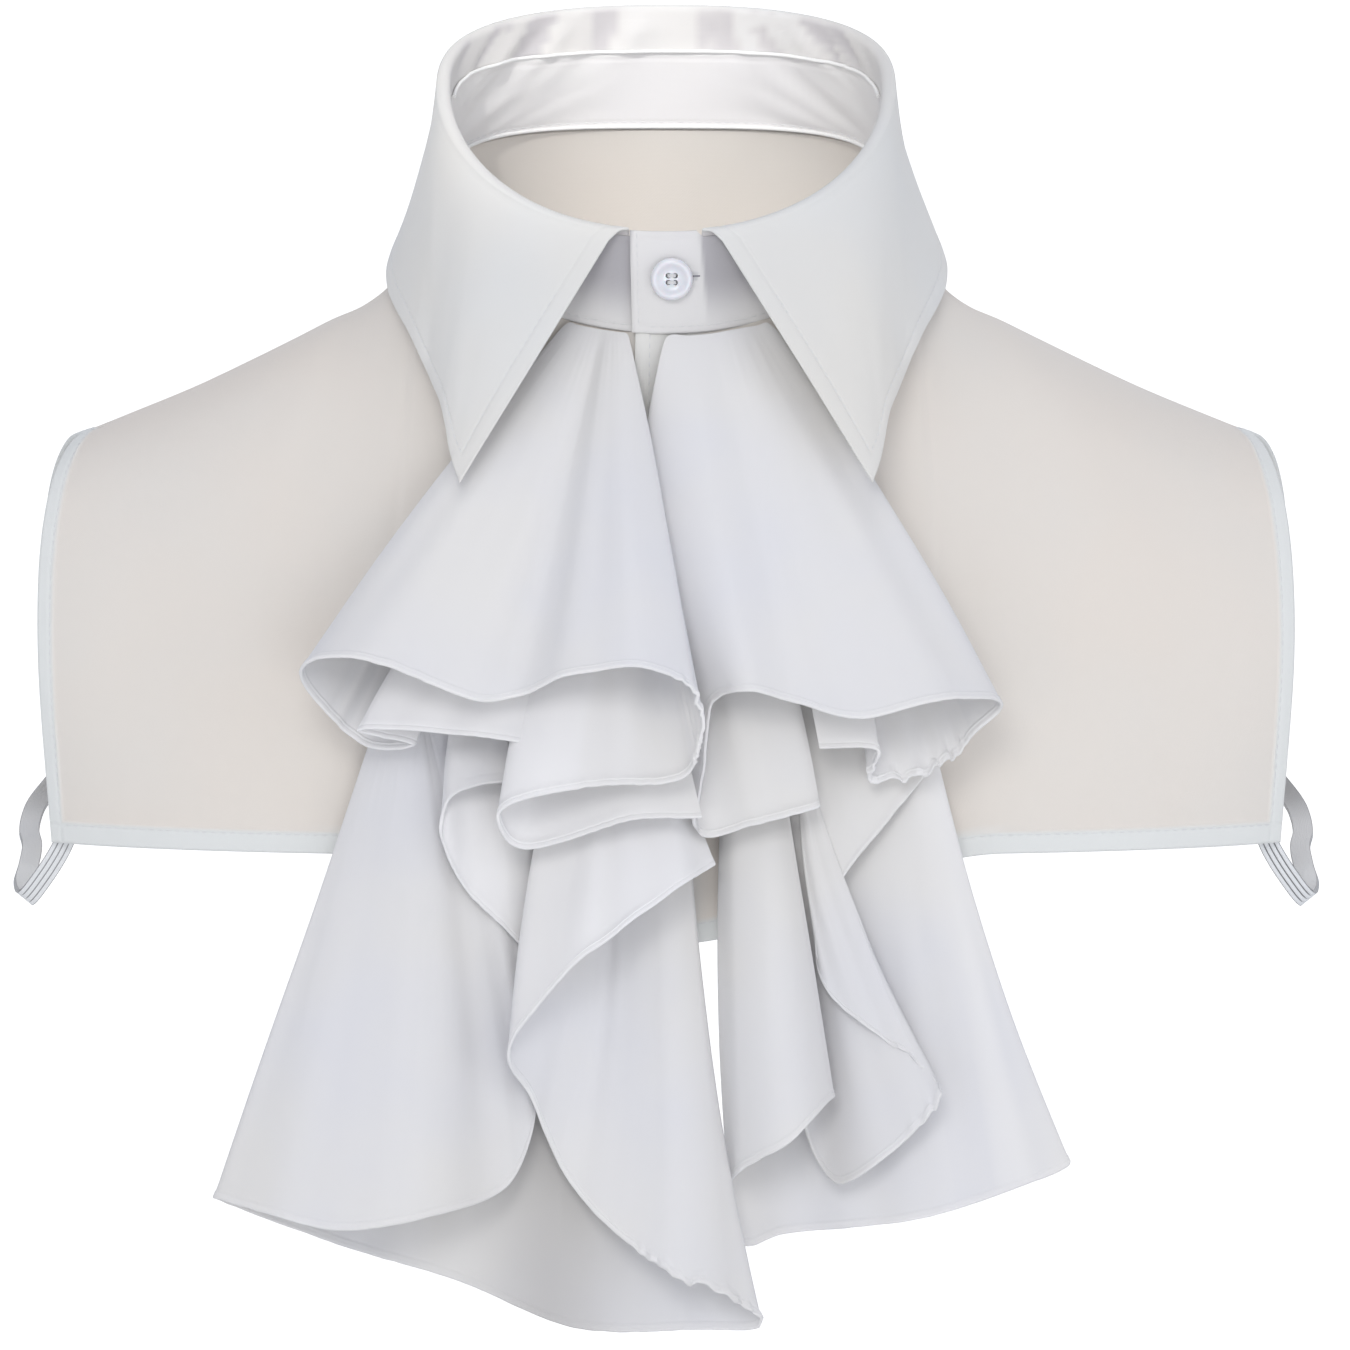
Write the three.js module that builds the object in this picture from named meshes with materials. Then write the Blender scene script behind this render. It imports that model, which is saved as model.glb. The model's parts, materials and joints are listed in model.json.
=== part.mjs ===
// Detachable collar: a shirt collar on a short bib, with a two-tier jabot and an elastic at each side.
// Millimetres, +Z up, front toward -Y, origin at the middle of the neck opening's seam.
// Left and right are as seen from the front, so left is -X.

import * as THREE from 'three';

// Walls and the gap between neighbouring pieces
const standWall = 1.6;
const leafWall = 1.2;
const bibWall = 1.2;
const bibHemWall = 1.9;
const ruffleWall = 1.0;
const seamGap = 0.3;

// Neck seam, the ring where the band meets the bib, lower at the throat than at the nape
const neckSeam = {
  halfWidth: 66, front: 58, back: 57, frontSquareness: 2.1, backSquareness: 3.2,
  frontZ: -24.2, backZ: 24.8, crown: 8,
};

// Fold line along the top of the collar
const foldLine = {
  halfWidth: 66, front: 60, back: 52, frontSquareness: 2.2, backSquareness: 2.4,
  frontZ: 6, backZ: 61.7, crown: 8,
};
const foldRadius = 1.7;
const leafRiseFront = 0.3;
const leafRiseBack = 11.5;

// Both ends of the band run past the middle of the throat, in degrees, and the right one is on top.
// It stands proud by lapStep and settles onto the ring over lapBlend degrees.
const bandUnderEnd = 6.2;
const bandOverEnd = 5.4;
const lapStep = 2.4;
const lapBlend = 30;

// Edge of the turned-down leaf, from its point at the front to the middle of the back, with the
// place round the neck it hangs from and how far it bows outward
const leafFrontEnd = { left: 10.8, right: 8.4 };
const leafEdge = [
  { angle: 0, x: 60.7, y: -94, z: -65.3, bow: 1.0 },
  { angle: 24, x: 63.3, y: -86, z: -57.8, bow: 1.0 },
  { angle: 42, x: 65.8, y: -75, z: -46.3, bow: 1.0 },
  { angle: 58, x: 70.0, y: -60, z: -36.9, bow: 0.5 },
  { angle: 74, x: 75.3, y: -47, z: -26.7, bow: -1.0 },
  { angle: 92, x: 82.4, y: -15, z: -15.0, bow: -2.5 },
  { angle: 116, x: 80.0, y: 24, z: -5.0, bow: -1.0 },
  { angle: 140, x: 66.0, y: 54, z: 9.0, bow: 0.5 },
  { angle: 162, x: 37.0, y: 68, z: 14.0, bow: 0.5 },
  { angle: 180, x: 0.0, y: 71, z: 14.0, bow: 0.0 },
];

// Bib: shoulder ridge, from the side of the neck to the shoulder's end
const shoulderRidge = [
  { x: 66, z: 7.5 },
  { x: 72, z: -6.0 },
  { x: 79, z: -15.5 },
  { x: 86, z: -21.0 },
  { x: 95, z: -25.0 },
  { x: 107, z: -31.0 },
  { x: 136, z: -44.5 },
  { x: 159, z: -54.0 },
  { x: 173, z: -60.0 },
];
const hemHalfWidth = 181.3;
const sideBulge = 8;
const sideBulgePower = 6;
const hemZ = -175.2;
const neckSideHemX = 88;
const chest = { depth: 94, halfWidth: 205, squareness: 2.6 };
const upperBack = { depth: 104, halfWidth: 205, squareness: 2.6 };
const centreDip = 26;
const centreDipHalfWidth = 100;
const frontOverEnd = -10.6;
const frontUnderEnd = 12;
const frontLapFade = 1.4;
const bibTopProud = 1.2;

// How roundly the bib turns from its top edge into its fall, 2 being a quarter ellipse
const roundness = { middle: 1.15, neckSide: 1.5, shoulderEnd: 2.1 };

// Button on the band's overlap
const buttonRadius = 6.3;
const buttonThickness = 3;
const buttonCentre = { x: 1.7, z: -8.1 };

// Each ruffle is a fan. A row is one fold line: where it starts under the ruffle above or at the
// neck seam, where it reaches the hem, how far it bows forward and how far it swings sideways.
const upperLeftFolds = [
  { topX: -22, topY: -99, topZ: -84, hemX: -30, hemY: -121, hemZ: -141, bow: 0, swing: 0 },
  { topX: -36, topY: -99, topZ: -84, hemX: -62, hemY: -123, hemZ: -136.5, bow: 0, swing: 0 },
  { topX: -54, topY: -96, topZ: -86, hemX: -90.4, hemY: -118, hemZ: -136, bow: 0, swing: -3 },
  { topX: -48, topY: -91, topZ: -86, hemX: -74, hemY: -112, hemZ: -141, bow: 0, swing: 0 },
  { topX: -54, topY: -82, topZ: -70, hemX: -88, hemY: -106, hemZ: -142, bow: 0, swing: 0 },
  { topX: -36, topY: -68, topZ: -34, hemX: -100.5, hemY: -106, hemZ: -131, bow: 0, swing: -2 },
  { topX: -28.5, topY: -55.4, topZ: -21.8, hemX: -107.7, hemY: -113, hemZ: -119, bow: -2, swing: -3 },
  { topX: -26.5, topY: -56.2, topZ: -22.3, hemX: -97, hemY: -126, hemZ: -113.5, bow: -3, swing: 0 },
  { topX: -24, topY: -57.0, topZ: -22.8, hemX: -80, hemY: -132, hemZ: -116, bow: -2, swing: 0 },
  { topX: -21, topY: -57.7, topZ: -23.3, hemX: -56, hemY: -131, hemZ: -126, bow: 1, swing: 0 },
  { topX: -19, topY: -58.2, topZ: -23.6, hemX: -44, hemY: -128, hemZ: -124.5, bow: 1, swing: 0 },
  { topX: -17, topY: -58.6, topZ: -23.9, hemX: -30, hemY: -137, hemZ: -118, bow: 4, swing: 0 },
  { topX: -14, topY: -59.3, topZ: -24.3, hemX: -6, hemY: -142, hemZ: -115.5, bow: 5, swing: 0 },
  { topX: -11.5, topY: -59.7, topZ: -24.8, hemX: 8, hemY: -139, hemZ: -121, bow: 4, swing: 1 },
  { topX: -12, topY: -76, topZ: -44, hemX: 11, hemY: -133, hemZ: -137, bow: 2, swing: 1 },
  { topX: -8, topY: -96, topZ: -80, hemX: 5.5, hemY: -130, hemZ: -148, bow: 1, swing: 0 },
  { topX: -14, topY: -99, topZ: -84, hemX: -25.3, hemY: -132, hemZ: -151.5, bow: 2, swing: 0 },
  { topX: -30, topY: -97, topZ: -90, hemX: -50, hemY: -127, hemZ: -160, bow: 1, swing: -3 },
  { topX: -27, topY: -93, topZ: -100, hemX: -43, hemY: -120, hemZ: -170.5, bow: 1, swing: 0 },
  { topX: -10, topY: -97, topZ: -102, hemX: -8, hemY: -124, hemZ: -161.5, bow: 2, swing: 0 },
  { topX: -3, topY: -97, topZ: -104, hemX: 10.5, hemY: -121, hemZ: -161.5, bow: 1, swing: 0 },
];

const upperRightFolds = [
  { topX: 34, topY: -97, topZ: -84, hemX: 45, hemY: -115, hemZ: -141.5, bow: 0, swing: 0 },
  { topX: 48, topY: -95, topZ: -84, hemX: 63, hemY: -118, hemZ: -142, bow: 0, swing: 2 },
  { topX: 50, topY: -88, topZ: -78, hemX: 61, hemY: -110, hemZ: -151, bow: 0, swing: 0 },
  { topX: 48, topY: -80, topZ: -62, hemX: 76, hemY: -109, hemZ: -150, bow: 0, swing: 0 },
  { topX: 40, topY: -70, topZ: -38, hemX: 90, hemY: -108, hemZ: -139, bow: 0, swing: 2 },
  { topX: 30, topY: -56.4, topZ: -21.8, hemX: 98.3, hemY: -112, hemZ: -130, bow: -2, swing: 3 },
  { topX: 27, topY: -57.5, topZ: -22.4, hemX: 90, hemY: -122, hemZ: -126, bow: -3, swing: 1 },
  { topX: 23.5, topY: -58.8, topZ: -22.9, hemX: 74, hemY: -129, hemZ: -127.5, bow: -1, swing: 0 },
  { topX: 19, topY: -60.2, topZ: -23.6, hemX: 56, hemY: -128, hemZ: -131.5, bow: 2, swing: 0 },
  { topX: 14, topY: -61.4, topZ: -24.4, hemX: 39, hemY: -124, hemZ: -127.5, bow: 2, swing: 0 },
  { topX: 7, topY: -62.4, topZ: -25, hemX: 24, hemY: -128, hemZ: -123.5, bow: 3, swing: -2 },
  { topX: 0.5, topY: -62.8, topZ: -25.2, hemX: 14, hemY: -119, hemZ: -127.5, bow: 0, swing: -12 },
  { topX: -1, topY: -71, topZ: -42, hemX: 11.3, hemY: -113, hemZ: -145, bow: 0, swing: -9 },
  { topX: 6, topY: -88, topZ: -82, hemX: 10, hemY: -112, hemZ: -167.5, bow: 1, swing: 0 },
  { topX: 14, topY: -93, topZ: -84, hemX: 26.5, hemY: -116, hemZ: -164, bow: 2, swing: 0 },
  { topX: 26, topY: -92, topZ: -86, hemX: 45, hemY: -113, hemZ: -159, bow: 2, swing: 2 },
  { topX: 22, topY: -89, topZ: -92, hemX: 36, hemY: -107, hemZ: -160, bow: 1, swing: 0 },
];

const lowerLeftFolds = [
  { topX: -8, topY: -90, topZ: -128, hemX: 14.3, hemY: -112, hemZ: -176.5, bow: -1, swing: 1 },
  { topX: -10, topY: -95, topZ: -128, hemX: 4, hemY: -124, hemZ: -181.5, bow: -2, swing: 1 },
  { topX: -15, topY: -95.5, topZ: -128, hemX: -12, hemY: -129, hemZ: -192.5, bow: -2, swing: 0 },
  { topX: -20, topY: -96, topZ: -128, hemX: -30, hemY: -130, hemZ: -207.5, bow: -2, swing: 0 },
  { topX: -28, topY: -95, topZ: -128, hemX: -46.3, hemY: -125, hemZ: -232, bow: 0, swing: -3 },
  { topX: -24, topY: -92.5, topZ: -130, hemX: -41, hemY: -119, hemZ: -243, bow: 0, swing: 2 },
  { topX: -16, topY: -91, topZ: -130, hemX: -31, hemY: -113, hemZ: -266, bow: 1, swing: 5 },
  { topX: -12, topY: -91, topZ: -130, hemX: -20, hemY: -117, hemZ: -280, bow: 2, swing: 3 },
  { topX: -6, topY: -91, topZ: -130, hemX: 1, hemY: -124, hemZ: -295.5, bow: 3, swing: 2 },
  { topX: 2, topY: -91, topZ: -130, hemX: 18, hemY: -124, hemZ: -303, bow: 3, swing: 0 },
  { topX: 6, topY: -90, topZ: -130, hemX: 27.5, hemY: -119, hemZ: -312, bow: 3, swing: -6 },
  { topX: -2, topY: -86.7, topZ: -126, hemX: 8, hemY: -110, hemZ: -314, bow: 7, swing: -2 },
  { topX: -20, topY: -86, topZ: -124, hemX: -26, hemY: -108, hemZ: -314, bow: 6, swing: 0 },
  { topX: -45, topY: -85.2, topZ: -122, hemX: -62, hemY: -104, hemZ: -300, bow: 5, swing: 0 },
  { topX: -62, topY: -85.2, topZ: -122, hemX: -97, hemY: -100, hemZ: -290, bow: 5, swing: 0 },
  { topX: -80, topY: -89, topZ: -122, hemX: -132.7, hemY: -104, hemZ: -276, bow: 3, swing: 0 },
  { topX: -78, topY: -93, topZ: -123, hemX: -117, hemY: -117, hemZ: -279, bow: 1, swing: 0 },
  { topX: -76, topY: -95, topZ: -124, hemX: -96, hemY: -124, hemZ: -283, bow: 2, swing: 2 },
  { topX: -74, topY: -96, topZ: -125, hemX: -70, hemY: -125, hemZ: -279, bow: 2, swing: 4 },
  { topX: -72.5, topY: -96.5, topZ: -126, hemX: -46, hemY: -117, hemZ: -270, bow: 2, swing: 4 },
  { topX: -60, topY: -96.5, topZ: -127, hemX: -36, hemY: -111, hemZ: -238, bow: 1, swing: 2 },
  { topX: -44, topY: -95.5, topZ: -128, hemX: -34, hemY: -108, hemZ: -212, bow: 0, swing: 0 },
  { topX: -50, topY: -98, topZ: -130, hemX: -46, hemY: -109.5, hemZ: -197, bow: 1, swing: 0 },
  { topX: -57, topY: -99.5, topZ: -131, hemX: -58, hemY: -111.5, hemZ: -184.5, bow: 1, swing: 0 },
  { topX: -61, topY: -100.5, topZ: -131, hemX: -64, hemY: -112, hemZ: -174, bow: 1, swing: 0 },
  { topX: -63, topY: -101, topZ: -131, hemX: -66.3, hemY: -111.5, hemZ: -165, bow: 0, swing: 0 },
  { topX: -62, topY: -102, topZ: -131, hemX: -63, hemY: -113, hemZ: -156.5, bow: 0, swing: 0 },
  { topX: -56, topY: -102.5, topZ: -131, hemX: -55, hemY: -113.5, hemZ: -153, bow: 0, swing: 0 },
  { topX: -48, topY: -102, topZ: -131, hemX: -45, hemY: -112.5, hemZ: -151.5, bow: 0, swing: 0 },
];

const lowerRightFolds = [
  { topX: 64, topY: -88.5, topZ: -126, hemX: 101, hemY: -100, hemZ: -262, bow: 3, swing: 0 },
  { topX: 75, topY: -91.5, topZ: -126, hemX: 119.3, hemY: -107, hemZ: -265, bow: 3, swing: -4 },
  { topX: 70, topY: -93, topZ: -126, hemX: 101, hemY: -114, hemZ: -272.5, bow: 3, swing: 0 },
  { topX: 56, topY: -89.5, topZ: -126, hemX: 76, hemY: -114, hemZ: -280.5, bow: 3, swing: 0 },
  { topX: 42, topY: -88, topZ: -126, hemX: 54, hemY: -109, hemZ: -284, bow: 4, swing: 0 },
  { topX: 26, topY: -86.5, topZ: -126, hemX: 34, hemY: -105, hemZ: -286.5, bow: 6, swing: 0 },
  { topX: 18, topY: -87.2, topZ: -128, hemX: 23, hemY: -104, hemZ: -290, bow: 6, swing: -3 },
  { topX: 17.5, topY: -91, topZ: -130, hemX: 19.5, hemY: -108, hemZ: -272, bow: 5, swing: -2 },
  { topX: 20, topY: -94, topZ: -130, hemX: 23, hemY: -118, hemZ: -265.5, bow: 4, swing: -1 },
  { topX: 25, topY: -94, topZ: -130, hemX: 36, hemY: -127, hemZ: -257, bow: 3, swing: 0 },
  { topX: 31, topY: -94, topZ: -130, hemX: 48.6, hemY: -122, hemZ: -244, bow: 2, swing: 0 },
  { topX: 27, topY: -92, topZ: -132, hemX: 42, hemY: -117, hemZ: -252, bow: 1, swing: 0 },
  { topX: 26, topY: -91, topZ: -132, hemX: 50, hemY: -116, hemZ: -270, bow: 1, swing: 3 },
  { topX: 30, topY: -92.5, topZ: -132, hemX: 63, hemY: -120, hemZ: -263, bow: 2, swing: 2 },
  { topX: 36, topY: -94, topZ: -132, hemX: 81.2, hemY: -122, hemZ: -241.5, bow: 1, swing: -4 },
  { topX: 38, topY: -95, topZ: -132, hemX: 64.5, hemY: -118, hemZ: -228, bow: 1, swing: -5 },
  { topX: 39, topY: -95, topZ: -132, hemX: 48, hemY: -113, hemZ: -214.5, bow: 0, swing: -3 },
  { topX: 40, topY: -95, topZ: -131, hemX: 44, hemY: -110, hemZ: -204, bow: 0, swing: -1 },
  { topX: 45, topY: -95, topZ: -129, hemX: 50, hemY: -107, hemZ: -184.5, bow: 0, swing: 0 },
  { topX: 54, topY: -95, topZ: -127, hemX: 65.5, hemY: -104, hemZ: -164, bow: 0, swing: 0 },
  { topX: 63, topY: -94, topZ: -125, hemX: 76, hemY: -101, hemZ: -151.5, bow: 0, swing: 0 },
];

// Elastic of the right side, from behind the back's corner down to its low bend and up to the front's
// corner. The lean turns its width away from straight across, in degrees.
const elasticWidth = 6;
const elasticRibs = 4;
const elasticRibWall = 1.5;
const elasticGrooveWall = 0.8;
const elasticPath = [
  { x: 176, y: 62, z: -162, lean: 25 },
  { x: 182.5, y: 59.4, z: -170, lean: 25 },
  { x: 187, y: 45, z: -174.5, lean: 12 },
  { x: 188.8, y: 25, z: -177, lean: 4 },
  { x: 189.2, y: 5, z: -179.5, lean: 0 },
  { x: 188, y: -15, z: -181.5, lean: 4 },
  { x: 188.6, y: -32, z: -185, lean: 14 },
  { x: 189.8, y: -41, z: -190, lean: 30 },
  { x: 188.6, y: -47, z: -192.5, lean: 40 },
  { x: 184, y: -52, z: -185, lean: 36 },
  { x: 178.6, y: -55.3, z: -176.5, lean: 34 },
  { x: 175.5, y: -57.1, z: -170, lean: 34 },
];

// Finishes
const bibCloth = new THREE.MeshStandardMaterial({ color: 0xe0dbd7, roughness: 0.85, metalness: 0 });
const collarCloth = new THREE.MeshStandardMaterial({ color: 0xdadada, roughness: 0.8, metalness: 0 });
const ruffleCloth = new THREE.MeshStandardMaterial({ color: 0xe3e5ea, roughness: 0.75, metalness: 0 });
const elasticCloth = new THREE.MeshStandardMaterial({ color: 0xc9cacf, roughness: 0.8, metalness: 0 });
const buttonFinish = new THREE.MeshStandardMaterial({ color: 0xdcdfe6, roughness: 0.25, metalness: 0 });

const collar = new THREE.Group();

function mix(a, b, t) {
  return a + (b - a) * t;
}

function smoothStep(t) {
  const clamped = Math.min(1, Math.max(0, t));
  return clamped * clamped * (3 - 2 * clamped);
}

function signedPower(value, exponent) {
  return Math.sign(value) * Math.abs(value) ** exponent;
}

// A smooth curve through three named columns of a table, with its parameter even from row to row
function columnCurve(rows, columns) {
  const points = rows.map((row) => new THREE.Vector3(...columns.map((column) => row[column] ?? 0)));
  return new THREE.CatmullRomCurve3(points, false, 'centripetal');
}

// A closed wall of cloth round a middle surface: two skins and a rim. The surface is a function of
// two numbers from 0 to 1.
function addSheet(name, material, columnCount, rowCount, surfaceAt, wallAt) {
  const middle = [];
  const wall = [];
  for (let i = 0; i <= columnCount; i += 1) {
    for (let j = 0; j <= rowCount; j += 1) {
      middle.push(surfaceAt(i / columnCount, j / rowCount));
      wall.push(wallAt(i / columnCount, j / rowCount));
    }
  }
  const at = (i, j) => middle[i * (rowCount + 1) + j];
  const front = [];
  const back = [];
  for (let i = 0; i <= columnCount; i += 1) {
    for (let j = 0; j <= rowCount; j += 1) {
      const along = at(Math.min(i + 1, columnCount), j).clone().sub(at(Math.max(i - 1, 0), j));
      const down = at(i, Math.min(j + 1, rowCount)).clone().sub(at(i, Math.max(j - 1, 0)));
      const offset = along.cross(down).setLength(wall[i * (rowCount + 1) + j] / 2);
      front.push(at(i, j).clone().add(offset));
      back.push(at(i, j).clone().sub(offset));
    }
  }
  const pointCount = middle.length;
  const triangles = [];
  const addQuad = (a, b, c, d) => triangles.push(a, b, c, a, c, d);
  const index = (i, j) => i * (rowCount + 1) + j;
  for (let i = 0; i < columnCount; i += 1) {
    for (let j = 0; j < rowCount; j += 1) {
      const [a, b, c, d] = [index(i, j), index(i + 1, j), index(i + 1, j + 1), index(i, j + 1)];
      addQuad(a, b, c, d);
      addQuad(d + pointCount, c + pointCount, b + pointCount, a + pointCount);
    }
  }
  const rim = [];
  for (let i = 0; i < columnCount; i += 1) rim.push(index(i, 0));
  for (let j = 0; j < rowCount; j += 1) rim.push(index(columnCount, j));
  for (let i = columnCount; i > 0; i -= 1) rim.push(index(i, rowCount));
  for (let j = rowCount; j > 0; j -= 1) rim.push(index(0, j));
  rim.forEach((a, k) => {
    const b = rim[(k + 1) % rim.length];
    addQuad(a, a + pointCount, b + pointCount, b);
  });
  const geometry = new THREE.BufferGeometry();
  geometry.setAttribute('position', new THREE.Float32BufferAttribute(
    [...front, ...back].flatMap((point) => point.toArray()), 3));
  geometry.setIndex(triangles);
  geometry.computeVertexNormals();
  const mesh = new THREE.Mesh(geometry, material);
  mesh.name = name;
  collar.add(mesh);
}

// A point on a ring round the neck: angle 0 at the throat, 90 at the right, 180 at the nape
function ringPoint(ring, angle, outward) {
  const place = (degrees) => {
    const turn = THREE.MathUtils.degToRad(degrees);
    const squareness = Math.cos(turn) > 0 ? ring.frontSquareness : ring.backSquareness;
    const ahead = signedPower(Math.cos(turn), 2 / squareness);
    const x = ring.halfWidth * signedPower(Math.sin(turn), 2 / squareness);
    return new THREE.Vector2(x, -ahead * (ahead > 0 ? ring.front : ring.back));
  };
  const point = place(angle);
  const tangent = place(angle + 0.5).sub(place(angle - 0.5)).normalize();
  const x = point.x + tangent.y * outward;
  const y = point.y - tangent.x * outward;
  const along = (point.y + ring.front) / (ring.front + ring.back);
  const z = mix(ring.frontZ, ring.backZ, along) + ring.crown * Math.sin(Math.PI * along);
  return new THREE.Vector3(x, y, z);
}

// How far the band's right end stands proud, where it laps over the left end
function lapOffset(angle) {
  return lapStep * smoothStep((lapBlend - angle) / lapBlend);
}

function leafRise(angle) {
  return mix(leafRiseFront, leafRiseBack, (1 - Math.cos(THREE.MathUtils.degToRad(angle))) / 2);
}

function foldBase(angle, outward) {
  const point = ringPoint(foldLine, angle, outward);
  point.z -= foldRadius;
  return point;
}

// Band: from its under end round the left, the nape and the right to its over end
function standSurface(u, v) {
  const angle = mix(-bandUnderEnd, 360 + bandOverEnd, u);
  const proud = lapOffset(360 - angle);
  const bottom = ringPoint(neckSeam, -angle, proud);
  const top = foldBase(-angle, proud - foldRadius);
  top.z -= leafRise(angle) + seamGap * 1.5;
  return bottom.lerp(top, v);
}
addSheet('collar_stand', collarCloth, 48, 2, standSurface, () => standWall);

// Leaf: a strip that rises from the band, the fold, and the fall down to the leaf's edge
const leafRows = [
  ...leafEdge.map((row) => ({ ...row, x: -row.x })),
  ...leafEdge.slice(0, -1).reverse().map((row) => ({ ...row, angle: 360 - row.angle })),
];
const leafEdgeCurve = columnCurve(leafRows, ['x', 'y', 'z']);
const leafHangCurve = columnCurve(leafRows, ['angle', 'bow']);
const leafStripPart = 0.12;
const leafFoldPart = 0.5;

function leafSurface(u, v) {
  const { x: place, y: bow } = leafHangCurve.getPoint(u);
  const angle = mix(leafFrontEnd.left, 360 - leafFrontEnd.right, place / 360);
  const proud = lapOffset(360 - angle);
  if (v <= leafStripPart) {
    const point = foldBase(-angle, proud - foldRadius);
    point.z -= leafRise(angle) * (1 - v / leafStripPart) - seamGap / 2;
    return point;
  }
  if (v <= leafFoldPart) {
    const turn = Math.PI * (v - leafStripPart) / (leafFoldPart - leafStripPart);
    const point = foldBase(-angle, proud - foldRadius * Math.cos(turn));
    point.z += foldRadius * Math.sin(turn) + seamGap / 2;
    return point;
  }
  const down = (v - leafFoldPart) / (1 - leafFoldPart);
  const outer = foldBase(-angle, proud + foldRadius);
  const outward = ringPoint(foldLine, -angle, 1).sub(ringPoint(foldLine, -angle, 0));
  const point = outer.clone().lerp(leafEdgeCurve.getPoint(u), down);
  return point.addScaledVector(outward, bow * Math.sin(Math.PI * down));
}
addSheet('collar_leaf', collarCloth, 36, 8, leafSurface, () => leafWall);

// Button: a raised rim round a dished middle, turned about an axis toward the front
const buttonProfile = [
  [0, 0], [0.62, 0], [0.95, 0.25], [1, 0.55], [0.93, 0.9], [0.8, 1], [0.66, 0.86], [0.5, 0.66], [0, 0.6],
];
const buttonGeometry = new THREE.LatheGeometry(
  buttonProfile.map(([r, h]) => new THREE.Vector2(r * buttonRadius, h * buttonThickness)), 20);
const button = new THREE.Mesh(buttonGeometry, buttonFinish);
button.name = 'button';
button.rotation.x = Math.PI;
const bandFrontY = -neckSeam.front - lapStep - standWall / 2;
button.position.set(buttonCentre.x, bandFrontY - seamGap, buttonCentre.z);
collar.add(button);

// Bib: the top edge follows the neck seam and then the shoulder ridge, the bottom edge is the hem
const neckPart = 0.42;
const neckSpread = 1.2;
const ridgeCurve = columnCurve(shoulderRidge, ['x', 'z']);

function hemDepth(form, x) {
  return form.depth * (1 - (Math.abs(x) / form.halfWidth) ** form.squareness) ** (1 / form.squareness);
}

// across runs from 0 at the middle to 1 at the side edge, down from 0 at the top to 1 at the hem
function bibSurface(across, down, facing, outward) {
  const form = facing < 0 ? chest : upperBack;
  const top = new THREE.Vector3();
  const bottom = new THREE.Vector3();
  let round;
  const onNeck = Math.min(1, Math.abs(across) / neckPart);
  if (across < neckPart) {
    const angle = 90 * Math.sign(across) * onNeck ** neckSpread;
    top.copy(ringPoint(neckSeam, facing < 0 ? angle : 180 - angle, bibTopProud * onNeck));
    bottom.x = neckSideHemX * across / neckPart;
    round = mix(roundness.middle, roundness.neckSide, onNeck);
  } else {
    const beyond = (across - neckPart) / (1 - neckPart);
    const ridge = ridgeCurve.getPoint(beyond);
    top.set(ridge.x + bibTopProud * (1 - beyond), 0, ridge.y);
    bottom.x = mix(neckSideHemX, hemHalfWidth, beyond);
    round = mix(roundness.neckSide, roundness.shoulderEnd, beyond);
  }
  top.z -= bibWall / 2 + seamGap * 1.5;
  top.y += facing * seamGap / 2 * smoothStep(onNeck * 3 - 2);
  const dip = Math.cos(Math.min(1, Math.abs(bottom.x) / centreDipHalfWidth) * Math.PI / 2) ** 2;
  bottom.y = facing * hemDepth(form, bottom.x);
  bottom.z = hemZ - (facing < 0 ? centreDip : 0) * dip;
  const turn = down * Math.PI / 2;
  const forward = Math.sin(turn) ** (2 / round);
  const fall = 1 - Math.cos(turn) ** (2 / round);
  const bulge = sideBulge * Math.sin(Math.PI * down) * Math.abs(across) ** sideBulgePower;
  return new THREE.Vector3(
    mix(top.x, bottom.x, down) + bulge,
    mix(top.y, bottom.y, forward) + facing * outward,
    mix(top.z, bottom.z, fall));
}

const hemStart = 0.94;
const bibWallAt = (down) => (down > hemStart ? bibHemWall : bibWall);
const frontReach = (x) => x / neckSideHemX * neckPart;

// The first half of a bib piece's columns lie under the neck opening, the rest under the shoulder
function acrossBib(u, start) {
  return u < 0.5 ? mix(start, neckPart, 2 * u) : mix(neckPart, 1, 2 * u - 1);
}

addSheet('front_panel_left', bibCloth, 16, 8, (u, v) => {
  const point = bibSurface(acrossBib(u, -frontReach(frontUnderEnd)), v, -1, 0);
  point.x = -point.x;
  return point;
}, (u, v) => bibWallAt(v));

addSheet('front_panel_right', bibCloth, 16, 8, (u, v) => {
  const across = acrossBib(u, frontReach(frontOverEnd));
  const lap = lapStep * smoothStep(1 - across / neckPart * frontLapFade);
  return bibSurface(across, v, -1, lap);
}, (u, v) => bibWallAt(v));

addSheet('back_panel', bibCloth, 24, 8, (u, v) => {
  const fromMiddle = 2 * u - 1;
  const point = bibSurface(acrossBib(Math.abs(fromMiddle), 0), v, 1, 0);
  point.x *= Math.sign(fromMiddle) || 1;
  return point;
}, (u, v) => bibWallAt(v));

// Jabot
function addRuffle(name, folds, stepsPerFold, stepsDown) {
  const topCurve = columnCurve(folds, ['topX', 'topY', 'topZ']);
  const hemCurve = columnCurve(folds, ['hemX', 'hemY', 'hemZ']);
  const formCurve = columnCurve(folds, ['swing', 'bow']);
  const surface = (u, v) => {
    const form = formCurve.getPoint(u);
    const point = topCurve.getPoint(u).lerp(hemCurve.getPoint(u), v);
    point.x += form.x * Math.sin(Math.PI * v);
    point.y -= form.y * Math.sin(Math.PI * v);
    return point;
  };
  addSheet(name, ruffleCloth, (folds.length - 1) * stepsPerFold, stepsDown, surface, () => ruffleWall);
}
addRuffle('jabot_upper_left', upperLeftFolds, 3, 5);
addRuffle('jabot_upper_right', upperRightFolds, 3, 5);
addRuffle('jabot_lower_left', lowerLeftFolds, 3, 5);
addRuffle('jabot_lower_right', lowerRightFolds, 3, 5);

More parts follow.
